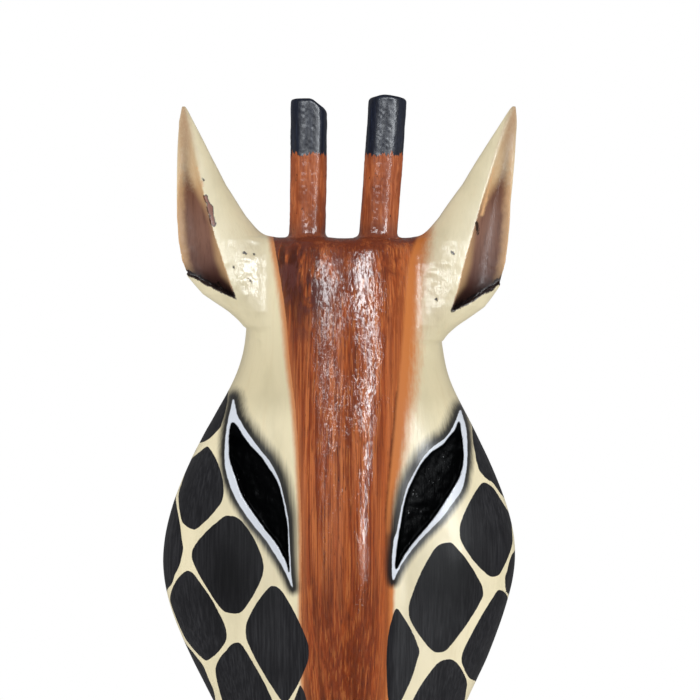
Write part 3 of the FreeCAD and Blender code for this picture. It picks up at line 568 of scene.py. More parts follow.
def make_piece(name, points, quads, normals, body="mask"):
    """A mesh piece in metres with smooth shading from the field's own normals."""
    used, flat = np.unique(quads.ravel(), return_inverse=True)
    points, normals, quads = points[used], normals[used], flat.reshape(-1, 4)
    mesh = bpy.data.meshes.new(name)
    mesh.from_pydata((points * MM).tolist(), [], quads.tolist())
    mesh.validate()
    mesh.update()
    piece = bpy.data.objects.new(name, mesh)
    bpy.context.scene.collection.objects.link(piece)
    mesh.polygons.foreach_set("use_smooth", np.ones(len(mesh.polygons), bool))
    mesh.normals_split_custom_set_from_vertices(normals.tolist())
    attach(piece, body)
    return piece, points


def give(piece, **fields):
    """Stores one number for each point of the mesh under each name."""
    for name, values in fields.items():
        layer = piece.data.attributes.new(name, "FLOAT", "POINT")
        layer.data.foreach_set("value", np.asarray(values, np.float32))


# ---------------------------------------------------------------- paint fields


ARC_STEP = 2.0  # between the table's heights


def arc_table():
    """Arc length along the section from the middle plane, by height, side and angle."""
    heights = np.arange(CHIN_BOTTOM, CROWN_TOP + 1, ARC_STEP)
    angles = np.linspace(0, math.pi / 2, 91)
    h, a = np.meshgrid(heights, angles, indexing="ij")
    out = {}
    for side, flag in (("left", 0.0), ("right", 1.0)):
        radius = section(a, flag, h)
        across, forward = radius * np.cos(a), radius * np.sin(a)
        step = np.hypot(np.diff(across, axis=1), np.diff(forward, axis=1))
        run = np.cumsum(step[:, ::-1], axis=1)
        length = np.concatenate([np.zeros((len(heights), 1)), run], axis=1)[:, ::-1]
        out[side] = (length, across)
    return angles, out


ARC_ANGLES, ARC = arc_table()


def arc_of_point(x, y, z):
    """How far round the face a point lies from the middle plane, signed by its side."""
    angle = np.clip(np.arctan2(-np.minimum(y, 0), np.abs(x)), 0, math.pi / 2)
    row, turn = (z - CHIN_BOTTOM) / ARC_STEP, angle / ARC_ANGLES[1]
    left, right = (between_cells(ARC[side][0], row, turn) for side in ("left", "right"))
    return np.where(x < 0, left, right) * np.sign(x)


def arc_of_corner(x, z):
    """The same for a corner that is drawn on the face seen square from the front."""
    side = "left" if x < 0 else "right"
    row = int(round((z - CHIN_BOTTOM) / ARC_STEP))
    length, across = ARC[side][0][row], ARC[side][1][row]
    if abs(x) >= across[0]:
        return math.copysign(length[0] + 8.0, x)
    return math.copysign(float(np.interp(-abs(x), -across, length)), x)


def spot_raster():
    """The distance to the nearest spot, laid out round the face by arc length and height."""
    outlines = []
    for corners in SPOTS:
        drawn = []
        for (x0, z0), (x1, z1) in zip(corners, corners[1:] + corners[:1]):
            for share in (0.0, 0.34, 0.67):
                if share and (abs(x0) >= EDGE or abs(x1) >= EDGE):
                    continue
                x, z = x0 + (x1 - x0) * share, z0 + (z1 - z0) * share
                drawn.append((arc_of_corner(x, z), z, share == 0.0))
        outline = soften([(u, v) for u, v, _ in drawn], [corner for _, _, corner in drawn], 6.5)
        outlines.append(outline)

    def nearest(u, v):
        value = np.full(u.shape, 12.0)
        for outline in outlines:
            value = np.minimum(value, outline_distance(outline, u, v))
        return value

    return Raster((-150, -330), (150, -35), nearest)


def soften(points, corner_flags, radius):
    """The outline with its marked corners rounded and its sides slightly bowed outwards."""
    points = np.array(points, float)
    middle = points.mean(0)
    bowed = []
    for p, is_corner in zip(points, corner_flags):
        push = 0.0 if is_corner else 0.9
        out = p - middle
        bowed.append(p + out / (np.hypot(*out) + 1e-9) * push)
    return round_corners(bowed, radius)


spots = spot_raster()


def blob_distance(x, z, marks):
    """Distance to the nearest of a few strokes, given as two ends and a half width."""
    best = np.full(x.shape, 20.0)
    for (x0, z0), (x1, z1), half in marks:
        dx, dz = x1 - x0, z1 - z0
        share = np.clip(((x - x0) * dx + (z - z0) * dz) / (dx * dx + dz * dz + 1e-9), 0, 1)
        best = np.minimum(best, np.hypot(x - x0 - share * dx, z - z0 - share * dz) - half)
    return best


# Worn places on the front: varnished brown chips, bare tan patches and black pits in the filler.
CHIPS = [((-68.4, 51.5), (-66.2, 47), 0.5), ((-66.2, 47), (-64.4, 38), 0.9)]
BARE = [((70.2, 43), (72.4, 51), 0.8), ((72.4, 51), (75.8, 66), 0.3), ((-69.5, 57), (-72.5, 66), 0.2)]
PITS = [
    ((-48.9, 23.8), (-47.6, 23.0), 0.5), ((-44.2, 23.2), (-43.8, 22.6), 0.4),
    ((-46.6, 10.4), (-45.2, 8.6), 0.5), ((-54.6, 17.0), (-53.4, 15.4), 0.4),
    ((55.0, 24.0), (55.6, 22.9), 0.5), ((46.6, 0.6), (47.6, -0.4), 0.5),
    ((-62.0, 8.6), (-60.2, 6.2), 0.5), ((67.5, 38.5), (67.9, 33.0), 0.7),
    ((-70.0, 61.0), (-69.2, 60.0), 0.4),
]


def halo_width(x, z, side):
    """How far the soot runs out past an eye's line: further on the inner, upper side."""
    top, bottom = EYES[side]["line"][0], (math.copysign(24.8, EYES[side]["line"][0][0]), -143.0)
    dx, dz = bottom[0] - top[0], bottom[1] - top[1]
    inner = ((x - top[0]) * dz - (z - top[1]) * dx) / math.hypot(dx, dz)
    if side == "left":
        inner = -inner
    low = 1 - rise(z, -112, 8)
    return 4.6 + (3.4 - 2.6 * low) * (0.5 + 0.5 * np.tanh(inner / 5))


def head_paint(points):
    """Distances in millimetres, point by point, that the paint is laid out with."""
    x, y, z = points.T
    u = arc_of_point(x, y, z)
    crown = np.clip(z, None, 32)
    left, right = x < 0, x >= 0
    front_only = np.where(y > -18, 20, 0)
    surface = head_field(x, np.minimum(y, -7), z)
    in_hollow = np.minimum(-surface - 4.0, y + 25.0)

    def by_side(make):
        return np.where(left, make("left"), make("right"))

    def inside_ear_rim(side):
        out, up = ear_frame(x, z, side)
        reach, half_width, _ = (column(up) for column in ear_columns)
        return reach + half_width - out

    return {
        "spot": spots(u, z),
        "left_edge": x - STRIPE_LEFT(crown),
        "right_edge": STRIPE_RIGHT(crown) - x,
        "left_spray": np.where(left, (STRIPE_LEFT(crown) - x) / SPRAY_LEFT(crown), 9.0),
        "right_spray": np.where(right, (x - STRIPE_RIGHT(crown)) / SPRAY_RIGHT(crown), 9.0),
        "eye": by_side(lambda side: outline_grids[side]["line"](x, z)),
        "halo": by_side(lambda side: outline_grids[side]["line"](x, z) / halo_width(x, z, side)),
        "hole": by_side(lambda side: outline_grids[side]["hole"](x, z)),
        "sunk": -surface,
        "behind": np.maximum(y + 1.0, in_hollow),
        "cup": by_side(lambda side: cup_field(x, y, z, side)) + np.where(np.abs(x) > 40, 0, 20),
        "cup_up": by_side(lambda side: cup_place(x, y, z, side)[0]),
        "ear_rim": by_side(inside_ear_rim),
        "ledge": by_side(lambda side: above_ledge(x, z, side)) + np.where(np.abs(x) > 50, 0, 20),
        "nostril": by_side(lambda side: nostril_field(x, y, z, -1 if side == "left" else 1)),
        "mouth": np.abs(z - mouth_height(x)),
        "grain_line": x - np.interp(-z, [40, 50, 80, 100, 112], [28.6, 27.2, 24.4, 22.6, 21.6]),
        "chip": blob_distance(x, z, CHIPS) + front_only + np.where(y > -22, 20, 0),
        "bare": blob_distance(x, z, BARE) + front_only,
        "pit": blob_distance(x, z, PITS) + front_only,
        "root": ear_root(x, z),
        # nearness to the middle of each cheek, where the spots are made darker
        "cheek_middle": np.exp(-(((np.abs(x) - 56) / 15) ** 2) - ((z + 137) / 22) ** 2),
    }


# ---------------------------------------------------------------- materials


def srgb(r, g, b):
    """A colour as it looks on paper, 0 to 255, in the renderer's linear measure."""
    out = []
    for value in (r, g, b):
        v = value / 255
        out.append(v / 12.92 if v <= 0.04045 else ((v + 0.055) / 1.055) ** 2.4)
    return (*out, 1.0)


def grey(value):
    return (value, value, value, 1.0)


class Paint:
    """A short way to write a procedural material."""

    def __init__(self, name):
        self.material = bpy.data.materials.new(name)
        self.material.use_nodes = True
        self.tree = self.material.node_tree
        self.shader = self.tree.nodes["Principled BSDF"]
        self.place = self.tree.nodes.new("ShaderNodeTexCoord").outputs["Object"]

    def node(self, kind, **settings):
        made = self.tree.nodes.new(kind)
        for key, value in settings.items():
            setattr(made, key, value)
        return made

    def put(self, socket, value):
        if isinstance(value, bpy.types.NodeSocket):
            self.tree.links.new(value, socket)
        else:
            socket.default_value = value

    def math(self, operation, a, b=0.0):
        made = self.node("ShaderNodeMath", operation=operation)
        for socket, value in zip(made.inputs, (a, b)):
            self.put(socket, value)
        return made.outputs[0]

    def field(self, name):
        return self.node("ShaderNodeAttribute", attribute_name=name).outputs["Fac"]

    def noise(self, size, stretch=(1, 1, 1), detail=3.0, rough=0.55, warp=0.0, shift=0.0):
        """Noise in 0..1 with features about `size` millimetres across, longer where stretched."""
        mapping = self.node("ShaderNodeMapping")
        self.put(mapping.inputs["Vector"], self.place)
        mapping.inputs["Scale"].default_value = [1000 / size / s for s in stretch]
        mapping.inputs["Location"].default_value = (shift, shift * 0.7, shift * 1.3)
        made = self.node("ShaderNodeTexNoise")
        self.put(made.inputs["Vector"], mapping.outputs[0])
        made.inputs["Scale"].default_value = 1.0
        made.inputs["Detail"].default_value = detail
        made.inputs["Roughness"].default_value = rough
        made.inputs["Distortion"].default_value = warp
        return made.outputs["Fac"]

    def cells(self, size, stretch=(1, 1, 1)):
        """Rounded scoops about `size` millimetres across, longer where stretched."""
        mapping = self.node("ShaderNodeMapping")
        self.put(mapping.inputs["Vector"], self.place)
        mapping.inputs["Scale"].default_value = [1000 / size / s for s in stretch]
        made = self.node("ShaderNodeTexVoronoi", feature="SMOOTH_F1")
        self.put(made.inputs["Vector"], mapping.outputs[0])
        made.inputs["Scale"].default_value = 1.0
        return made.outputs["Distance"]

    def ramp(self, value, low, high, start=0.0, end=1.0):
        """Goes smoothly from start to end as value goes from low to high."""
        made = self.node("ShaderNodeMapRange", interpolation_type="SMOOTHSTEP")
        for socket, v in zip(made.inputs, (value, low, high, start, end)):
            self.put(socket, v)
        return made.outputs[0]

    def below(self, value, edge=0.0, soft=0.12):
        """1 where value is under the edge, 0 where it is over."""
        return self.ramp(value, edge - soft, edge + soft, 1.0, 0.0)

    def mix(self, share, a, b):
        made = self.node("ShaderNodeMix", data_type="RGBA")
        self.put(made.inputs[0], share)
        self.put(made.inputs[6], a)
        self.put(made.inputs[7], b)
        return made.outputs[2]

    def lay(self, color, *coats):
        """The colour under coats that are given in turn as a share and a colour."""
        for share, coat in coats:
            color = self.mix(share, color, coat)
        return color

    def times(self, *values):
        return reduce(lambda a, b: self.math("MULTIPLY", a, b), values)

    def plus(self, *values):
        return reduce(lambda a, b: self.math("ADD", a, b), values)

    def minus(self, a, b):
        return self.math("SUBTRACT", a, b)

    def size(self, value):
        """The value without its sign."""
        return self.math("ABSOLUTE", value)

    def height(self):
        """The height in millimetres."""
        split = self.node("ShaderNodeSeparateXYZ")
        self.put(split.inputs[0], self.place)
        return self.math("MULTIPLY", split.outputs["Z"], 1000.0)

    def finish(self, color, roughness, bump=None, depth=0.3, coat=0.0, coat_rough=0.15, metallic=0.0):
        """Depth is the height of the bumps in millimetres."""
        self.put(self.shader.inputs["Base Color"], color)
        self.put(self.shader.inputs["Roughness"], roughness)
        self.put(self.shader.inputs["Metallic"], metallic)
        self.put(self.shader.inputs["Coat Weight"], coat)
        self.put(self.shader.inputs["Coat Roughness"], coat_rough)
        if bump is not None:
            made = self.node("ShaderNodeBump")
            made.inputs["Distance"].default_value = depth * MM
            made.inputs["Strength"].default_value = 1.0
            self.put(made.inputs["Height"], bump)
            self.put(self.shader.inputs["Normal"], made.outputs[0])
            if coat != 0.0:
                self.put(self.shader.inputs["Coat Normal"], made.outputs[0])
        return self.material


CREAM, CREAM_DULL = srgb(245, 233, 196), srgb(232, 221, 184)
BROWN, BROWN_DEEP, BROWN_LIGHT = srgb(170, 82, 40), srgb(130, 56, 27), srgb(194, 107, 60)
BROWN_DARK, PURPLE, ORANGE = srgb(84, 38, 24), srgb(98, 54, 50), srgb(206, 122, 58)
CHARCOAL, CHARCOAL_WORN = srgb(33, 33, 36), srgb(54, 54, 57)
SOOT, WHITE, BLACK = srgb(20, 21, 25), srgb(222, 228, 238), srgb(7, 8, 10)


def stripe_color(p, up, strand, waver):
    """Red-brown stain over straight grain, with dark pores, flames and a purple crown."""
    flame = p.noise(8.0, (1, 1, 9), 2, 0.5, 0.1, shift=17.0)
    pores = p.noise(0.6, (1, 1, 18), 3, 0.6, shift=11.0)
    bands = p.noise(2.4, (1, 1, 40), 2, 0.5, shift=14.0)
    cloud = p.noise(9.0, (1, 1, 1.3), 4, 0.62, 0.6, shift=31.0)
    fibres = p.noise(0.8, (1, 1, 90), 2, 0.5, shift=51.0)
    dashes = p.noise(0.8, (1, 1, 7), 2, 0.5, shift=41.0)
    left_edge, right_edge = p.field("left_edge"), p.field("right_edge")
    low, top = p.below(up, -138, 26), p.ramp(up, -34, 10)
    left_top = p.times(top, p.below(left_edge, 20, 7))
    grain_line = p.size(p.plus(p.field("grain_line"), p.times(waver, 1.5)))
    in_reach = p.times(p.below(up, -40, 6), p.ramp(up, -118, -104))
    return p.lay(
        BROWN,
        (p.ramp(strand, 0.40, 0.60), BROWN_LIGHT),
        (p.ramp(flame, 0.46, 0.66, 0.0, 0.75), BROWN_DEEP),
        (p.ramp(bands, 0.48, 0.62, 0.0, 0.80), BROWN_DEEP),
        (p.ramp(fibres, 0.50, 0.64, 0.0, 0.6), srgb(108, 46, 24)),
        (p.ramp(fibres, 0.34, 0.48, 0.6, 0.0), srgb(206, 124, 66)),
        (p.times(low, p.ramp(strand, 0.42, 0.60, 0.2, 0.9)), srgb(108, 46, 22)),
        (p.times(top, p.ramp(cloud, 0.40, 0.62, 0.0, 0.8)), srgb(116, 50, 28)),
        (p.times(left_top, p.ramp(bands, 0.32, 0.52, 0.0, 0.95)), srgb(72, 32, 22)),
        (p.times(left_top, p.ramp(cloud, 0.48, 0.60, 0.0, 0.80)), PURPLE),
        (p.times(p.ramp(up, 22, 31), p.ramp(cloud, 0.30, 0.60, 0.5, 0.95)), srgb(118, 54, 34)),
        (p.ramp(pores, 0.55, 0.66, 0.0, 0.62), BROWN_DARK),
        (p.ramp(dashes, 0.70, 0.76, 0.0, 0.75), srgb(60, 28, 22)),
        (p.times(p.below(right_edge, 4.5, 3.5), p.below(up, 24, 6), 0.4), srgb(198, 110, 58)),
        (p.times(p.below(left_edge, 2.4, 1.8), p.below(up, -10, 30), 0.35), srgb(206, 128, 80)),
        (p.times(p.below(grain_line, 0.7, 0.8), in_reach, 0.85), BROWN_DARK),
    )


def cup_paint_and_shade(p, waver):
    """The scoop in an ear: brown paint, tan at the outer rim and the tip, with painted shade that
    darkens it down its middle, at its foot and over its ledge.
    """
    up_cup, rim, ledge = p.field("cup_up"), p.field("ear_rim"), p.field("ledge")
    grain = p.noise(1.6, (1, 1, 9), 3, 0.6, shift=19.0)
    beyond = p.minus(rim, p.ramp(up_cup, 0.28, 0.70, 17.0, 5.6))
    outer = p.plus(rim, p.times(waver, 2.4))
    ledge_black_and_shadow = p.below(p.plus(ledge, p.times(waver, 5.0)), 1.8, 0.6)
    return p.lay(
        # painted shade: dark at the scoop's foot and down its inner wall, lighter up its outer wall
        srgb(100, 66, 58),
        (p.ramp(up_cup, 0.0, 0.30), srgb(138, 100, 84)),
        (p.ramp(up_cup, 0.30, 0.70), srgb(116, 76, 56)),
        (p.ramp(grain, 0.45, 0.7, 0.0, 0.4), srgb(88, 56, 48)),
        (p.ramp(beyond, -2.0, 3.0), srgb(204, 166, 122)),
        (p.ramp(outer, 1.0, 5.5, 0.95, 0.0), srgb(228, 186, 140)),
        (p.ramp(up_cup, 0.62, 0.94, 0.0, 0.9), srgb(150, 86, 42)),
        # along the ledge: black paint with a painted shadow under the scoop's lip, then painted shade
        # darkening the cup just above it
        (ledge_black_and_shadow, srgb(30, 24, 26)),
        (p.ramp(ledge, 0.5, 7.0, 0.55, 0.0), srgb(52, 38, 38)),
    )


def raw_wood_color(p, streak, strand):
    """Unpainted light wood, a little dusty, with darker grain and gouge marks."""
    growth = p.noise(5.0, (1, 1, 9), 3, 0.5, 1.2, shift=61.0)
    stain = p.noise(22.0, (1, 1, 1.4), 4, 0.6, shift=67.0)
    return p.lay(
        srgb(206, 172, 128),
        (p.ramp(growth, 0.35, 0.65), srgb(176, 136, 92)),
        (p.ramp(streak, 0.5, 0.75, 0.0, 0.5), srgb(148, 108, 70)),
        (p.ramp(strand, 0.5, 0.8, 0.0, 0.35), srgb(226, 198, 156)),
        (p.ramp(stain, 0.5, 0.72, 0.0, 0.4), srgb(140, 106, 74)),
    )


def painted_head():
    """One paint job over head and ears, laid out by the distances that head_paint stores."""
    p = Paint("painted_wood")
    up = p.height()
    streak = p.noise(1.1, (1, 1, 22), 4, 0.6)
    strand = p.noise(3.2, (1, 1, 40), 2, 0.5, shift=3.0)
    mottle = p.noise(14, (1, 1, 2.2), 3, 0.55, shift=9.0)
    speck = p.noise(0.55, (1, 1, 1.6), 2, 0.5, shift=1.0)
    waver = p.minus(p.noise(2.6, (1, 1, 1.6), 3, 0.6, shift=5.0), 0.5)
    fine = p.minus(p.noise(0.9, (1, 1, 1.5), 2, 0.6, shift=7.0), 0.5)
    streaky = p.minus(streak, 0.5)

    # cream ground coat, brushed along the wood, with painted shade across the brow
    # painted shade: a band of duller cream across the brow, strongest just above the eyes, fading up
    # towards the ears
    painted_shade_brow = p.times(p.ramp(up, -64, -46), p.ramp(up, 12, -44))
    cream = p.lay(
        CREAM,
        (p.ramp(mottle, 0.42, 0.75), CREAM_DULL),
        (p.ramp(streak, 0.50, 0.80, 0.0, 0.45), CREAM_DULL),
        (p.ramp(strand, 0.52, 0.8, 0.0, 0.40), srgb(232, 214, 172)),
        (p.ramp(speck, 0.74, 0.80, 0.0, 0.45), srgb(160, 130, 88)),
        (p.times(painted_shade_brow, 0.4), srgb(186, 172, 134)),
    )

    # orange spray that fades into the cream beside the stained stripe
    grainy = p.plus(p.times(waver, 0.35), p.times(streaky, 0.35))
    right_spray, left_spray = (p.plus(p.field(f"{side}_spray"), grainy) for side in ("right", "left"))
    left_edge, right_edge = p.field("left_edge"), p.field("right_edge")
    inside = p.times(
        p.ramp(p.plus(left_edge, p.times(waver, 0.6), p.times(fine, 0.3)), -0.15, 0.45),
        p.ramp(p.plus(right_edge, p.times(waver, 0.8), p.times(fine, 0.4)), -1.2, 1.4),
    )

    # spots, brushed on with streaky charcoal
    charcoal = p.lay(
        CHARCOAL,
        (p.ramp(streak, 0.36, 0.74), CHARCOAL_WORN),
        (p.ramp(mottle, 0.4, 0.7, 0.0, 0.5), srgb(28, 28, 31)),
        # the spots darker towards the middle of each cheek
        (p.times(p.field("cheek_middle"), 0.85), srgb(17, 17, 19)),
    )
    in_spot = p.below(p.plus(p.field("spot"), 0.25, p.times(waver, 0.5), p.times(fine, 0.25)), 0.0, 0.16)

    # eyes: soot sprayed round a white line, and the black hole
    halo = p.ramp(p.plus(p.field("halo"), p.times(streaky, 0.42)), 0.14, 0.98, 0.98, 0.0)
    in_white = p.below(p.plus(p.field("eye"), p.times(waver, 0.7), 0.25), 0.0, 0.22)
    in_hole = p.below(p.plus(p.field("hole"), p.times(waver, 0.8), -0.3), 0.0, 0.25)

    # nostrils and mouth, painted the same way
    nostril = p.field("nostril")
    nostril_line = p.below(p.size(p.minus(nostril, 1.2)), 0.5, 0.2)
    mouth = p.times(p.below(p.field("mouth"), 2.6, 0.8), p.ramp(p.field("sunk"), 0.4, 1.4))

    # ear scoops, with a crisp painted edge low down and a soft one towards the tip
    up_cup = p.field("cup_up")
    soft = p.ramp(up_cup, 0.45, 0.80, 0.35, 3.2)
    cup_edge = p.plus(p.field("cup"), p.times(waver, 1.1), p.times(fine, 0.8))
    in_cup = p.ramp(cup_edge, p.minus(0.8, soft), p.plus(soft, 0.8), 1.0, 0.0)

    # worn places, and the back and its hollow, left as the gouge cut them
    frayed = p.plus(p.times(waver, 2.4), p.times(fine, 1.2))
    bare, chip, pit = (p.plus(p.field(name), frayed) for name in ("bare", "chip", "pit"))
    in_pit = p.below(pit, 0.0, 0.25)
    behind = p.ramp(p.plus(p.field("behind"), p.times(waver, 2.0)), -0.3, 0.4)
    face = p.lay(
        cream,
        (p.ramp(right_spray, 0.3, 1.15, 1.0, 0.0), ORANGE),
        (p.ramp(left_spray, 0.1, 1.1, 0.9, 0.0), ORANGE),
        (inside, stripe_color(p, up, strand, waver)),
        (in_spot, charcoal),
        (halo, SOOT),
        (in_white, WHITE),
        (in_hole, BLACK),
        (p.ramp(nostril, 0.5, 4.0, 0.9, 0.0), SOOT),
        (nostril_line, WHITE),
        (p.below(nostril, 0.55, 0.2), BLACK),
        (mouth, SOOT),
        (in_cup, cup_paint_and_shade(p, waver)),
        (p.below(bare, 0.0, 0.8), srgb(226, 180, 132)),
        (p.below(chip, 0.6, 0.3), srgb(58, 32, 26)),
        (p.below(chip, 0.1, 0.25), srgb(140, 84, 62)),
        (in_pit, srgb(44, 32, 24)),
        (behind, raw_wood_color(p, streak, strand)),
    )

    # satin cream, varnished stripe, dull spots
    duller = ((inside, 0.42), (in_spot, 0.42), (in_cup, 0.34), (behind, 0.72))
    rough = p.lay(grey(0.36), *((part, grey(value)) for part, value in duller))
    gouge = p.cells(7.0, (1, 1, 2.6))
    root = p.field("root")
    ripple = p.noise(1.8, (1, 1, 3.0), 3, 0.62, 0.5, shift=21.0)
    crackle = p.noise(0.6, (1, 1, 1.8), 2, 0.6, 0.3, shift=27.0)
    patchy = p.ramp(p.noise(7.0, (1, 1, 2.5), 3, 0.6, shift=37.0), 0.36, 0.62, 0.35, 1.25)
    varnish = p.times(p.plus(p.times(ripple, 0.6), p.times(crackle, 0.45)), patchy)
    share = p.plus(p.ramp(inside, 0, 1, 0.20, 1.0), p.times(root, 1.3))
    brushed = p.times(streak, p.ramp(inside, 0, 1, 0.5, 0.22))
    bump = p.plus(brushed, p.times(varnish, share), p.times(speck, 0.10))
    bump = p.plus(bump, p.times(in_spot, 0.25), p.times(in_hole, ripple, 1.2), p.times(in_pit, -1.0))
    bump = p.plus(bump, p.times(behind, gouge, 1.6), p.times(behind, streak, 0.6))
    sparkle = p.ramp(p.noise(1.1, (1, 1, 1.4), 2, 0.6, shift=47.0), 0.66, 0.72)
    in_parts = (in_spot, in_cup, in_hole)
    dull = p.times(*(p.ramp(part, 0, 1, 1.0, kept) for part, kept in zip(in_parts, (0.10, 0.25, 0.02))))
    broken = p.ramp(p.noise(1.1, (1, 1, 2.6), 3, 0.65, 0.4, shift=57.0), 0.44, 0.54, 0.06, 1.0)
    glossy = p.plus(p.times(inside, broken), p.ramp(inside, 0, 1, 0.14, 0.0), p.times(root, 0.35))
    coat = p.plus(p.times(glossy, dull), p.times(in_hole, sparkle, 0.5))
    coat = p.times(coat, p.ramp(behind, 0, 1, 1.0, 0.0))
    cup_level = p.ramp(up_cup, 0.25, 0.60, 0.5, 0.03)
    kept_levels = (0.22, cup_level, 0.05)
    level = p.times(*(p.ramp(part, 0, 1, 1.0, kept) for part, kept in zip(in_parts, kept_levels)))
    level = p.times(level, p.ramp(inside, 0, 1, 0.5, 0.08), p.ramp(right_spray, 0.6, 1.2, 0.35, 1.0))
    p.put(p.shader.inputs["Specular IOR Level"], level)
    return p.finish(face, rough, bump, depth=0.20, coat=coat, coat_rough=0.05)


def stained_horn():
    """Brown stain with pits, a dark lumpy foot, and a tip dipped in black, with a painted bluish
    reflection on it.
    """
    p = Paint("stained_horn")
    up = p.height()
    streak = p.noise(1.0, (1, 1, 12), 3, 0.6)
    mottle = p.noise(7, (1, 1, 2), 3, 0.6, shift=4.0)
    pit = p.noise(1.3, (1, 1, 1.8), 2, 0.5, shift=8.0)
    foot = p.below(p.plus(up, p.times(mottle, 16.0)), 45.0, 6.0)
    jag = p.plus(up, p.times(p.noise(1.6, (1, 1, 5), 3, 0.6, shift=2.0), 9.0))
    tip = p.ramp(jag, 77.1, 77.8)
    color = p.lay(
        srgb(158, 78, 42),
        (p.ramp(streak, 0.34, 0.68), srgb(196, 112, 66)),
        (p.ramp(mottle, 0.45, 0.66, 0.0, 0.7), srgb(134, 64, 36)),
        (p.times(foot, 0.55), srgb(120, 60, 42)),
        (p.ramp(pit, 0.68, 0.74), srgb(44, 24, 18)),
        # the black tip with a blue tint in its colour: painted reflection of the room on the black paint
        (tip, p.mix(p.ramp(streak, 0.4, 0.8), srgb(19, 24, 40), srgb(34, 42, 62))),
    )
    ripple = p.noise(1.5, (1, 1, 2.5), 3, 0.6, 0.3, shift=13.0)
    lumps = p.times(p.noise(2.8, (1, 1, 1.2), 3, 0.6, shift=33.0), foot, 1.4)
    bump = p.plus(p.times(streak, 0.3), p.times(ripple, p.ramp(tip, 0, 1, 0.3, 0.4)), lumps)
    p.put(p.shader.inputs["Specular IOR Level"], p.ramp(tip, 0, 1, 0.12, 0.38))
    return p.finish(color, 0.36, bump, depth=0.25, coat=p.ramp(foot, 0, 1, 0.14, 0.9), coat_rough=0.07)


def bare_wood():
    """The pins and dowels: unpainted, with glue smears."""
    p = Paint("bare_wood")
    streak = p.noise(0.8, (1, 1, 10), 4, 0.6)
    glue = p.noise(5, (1, 1, 1), 3, 0.6, shift=3.0)
    color = p.mix(p.ramp(streak, 0.3, 0.7), srgb(200, 164, 116), srgb(168, 126, 82))
    color = p.mix(p.ramp(glue, 0.5, 0.7, 0.0, 0.5), color, srgb(150, 112, 70))
    return p.finish(color, p.ramp(glue, 0.4, 0.7, 0.7, 0.45), streak, depth=0.15)


def plated(name, color, worn, base_rough):
    """Plated steel with fine scratches and dull patches."""
    p = Paint(name)
    scratch = p.noise(0.5, (1, 6, 1), 3, 0.6)
    tarnish = p.noise(2.8, (1, 1, 1), 4, 0.6, shift=5.0)
    tone = p.mix(p.ramp(tarnish, 0.42, 0.70), color, worn)
    rough = p.plus(p.times(scratch, 0.25), base_rough)
    return p.finish(tone, rough, p.plus(scratch, p.times(tarnish, 0.6)), depth=0.03, metallic=1.0)


# ---------------------------------------------------------------- pieces


def build_carving():
    """Head and ears come from one field, so the filler between them has no seam."""
    step = 0.95
    points, quads, normals = mesh_field(carving_field, (-94, -70, -402), (94, 4, 102), step)
    centre = points[quads].mean(axis=1)
    joint_reach, joint_bottom = 50, -17.5
    ear = (np.abs(centre[:, 0]) > joint_reach) & (centre[:, 2] > joint_bottom)
    chosen = {
        "left_ear": ear & (centre[:, 0] < 0),
        "right_ear": ear & (centre[:, 0] > 0),
        "head_carving": ~ear,
    }
    material = painted_head()
    for node, mask in chosen.items():
        piece, own = make_piece(f"{node}_painted", points, quads[mask], normals)
        give(piece, **head_paint(own))
        piece.data.materials.append(material)
        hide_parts(node)


def horn_field(side):
    """A whittled peg: uneven flat facets, a trimmed top and a fillet of filler at its foot."""
    rng = np.random.default_rng(3 if side == "left" else 5)
    base_x, lean, top = (-17.0, 0.6, 101.0) if side == "left" else (18.0, 5.0, 102.8)
    count = 9
    turns = (np.arange(count) + rng.uniform(-0.2, 0.2, count)) * 2 * math.pi / count
    reach = rng.uniform(8.7, 9.4, count)
    taper = rng.uniform(-0.012, 0.014, count)

    def field(x, y, z):
        pz = z - CROWN_TOP
        px, py = x - base_x - lean * pz / 70, y + 28
        body = None
        for turn, far, slope in zip(turns, reach, taper):
            swell = 0.35 * np.sin(pz / 19 + turn * 3)
            plane = px * math.cos(turn) + py * math.sin(turn) - far - (pz - 35) * slope - swell
            body = plane if body is None else smooth_max(body, plane, 2.2)
        if side == "left":
            end = smooth_max(z - top - 0.03 * px, z - 98.0 + 0.75 * (px - 5.0), 1.5)
        else:
            end = z - top + 0.012 * px**2 + 0.10 * np.abs(px + 2)
        body = smooth_max(body, end, 2.0)
        foot = smooth_min(body, z - 31.2, 3.2)
        foot = smooth_max(foot, np.hypot(px, py) - 12.5, 0.6)
        uneven = 0.12 * wave(x, y, z * 0.6, 3.5, LUMPS) + 0.07 * wave(x, y, z, 1.6, LUMPS)
        return smooth_max(foot + uneven, 30.4 - z, 0.3)

    return field


def build_horns():
    material = stained_horn()
    for side, low, high in (("left", -32, -2), ("right", 3, 36)):
        points, quads, normals = mesh_field(horn_field(side), (low, -43, 28), (high, -13, 105), 0.6)
        piece, _ = make_piece(f"{side}_horn_stained", points, quads, normals)
        piece.data.materials.append(material)
        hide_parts(f"{side}_horn")


def dress_hardware():
    """Materials and worn edges for the CAD pieces that keep their shapes."""
    steel = plated("zinc_steel", srgb(176, 174, 168), srgb(120, 112, 100), 0.28)
    brass = plated("yellow_zinc", srgb(196, 164, 92), srgb(132, 98, 52), 0.25)
    wood = bare_wood()
    for name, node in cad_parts.items():
        if name.startswith("hanger_screw"):
            material = brass
        elif name.startswith("hanger"):
            material = steel
        elif "pin" in name or "dowel" in name:
            material = wood
        else:
            continue
        node.data.materials.clear()
        node.data.materials.append(material)
        soften_edges = node.modifiers.new("worn_edges", "BEVEL")
        soften_edges.width = 0.15 * MM
        soften_edges.segments = 2
        soften_edges.limit_method = "ANGLE"
        soften_edges.angle_limit = math.radians(40)


# ---------------------------------------------------------------- studio


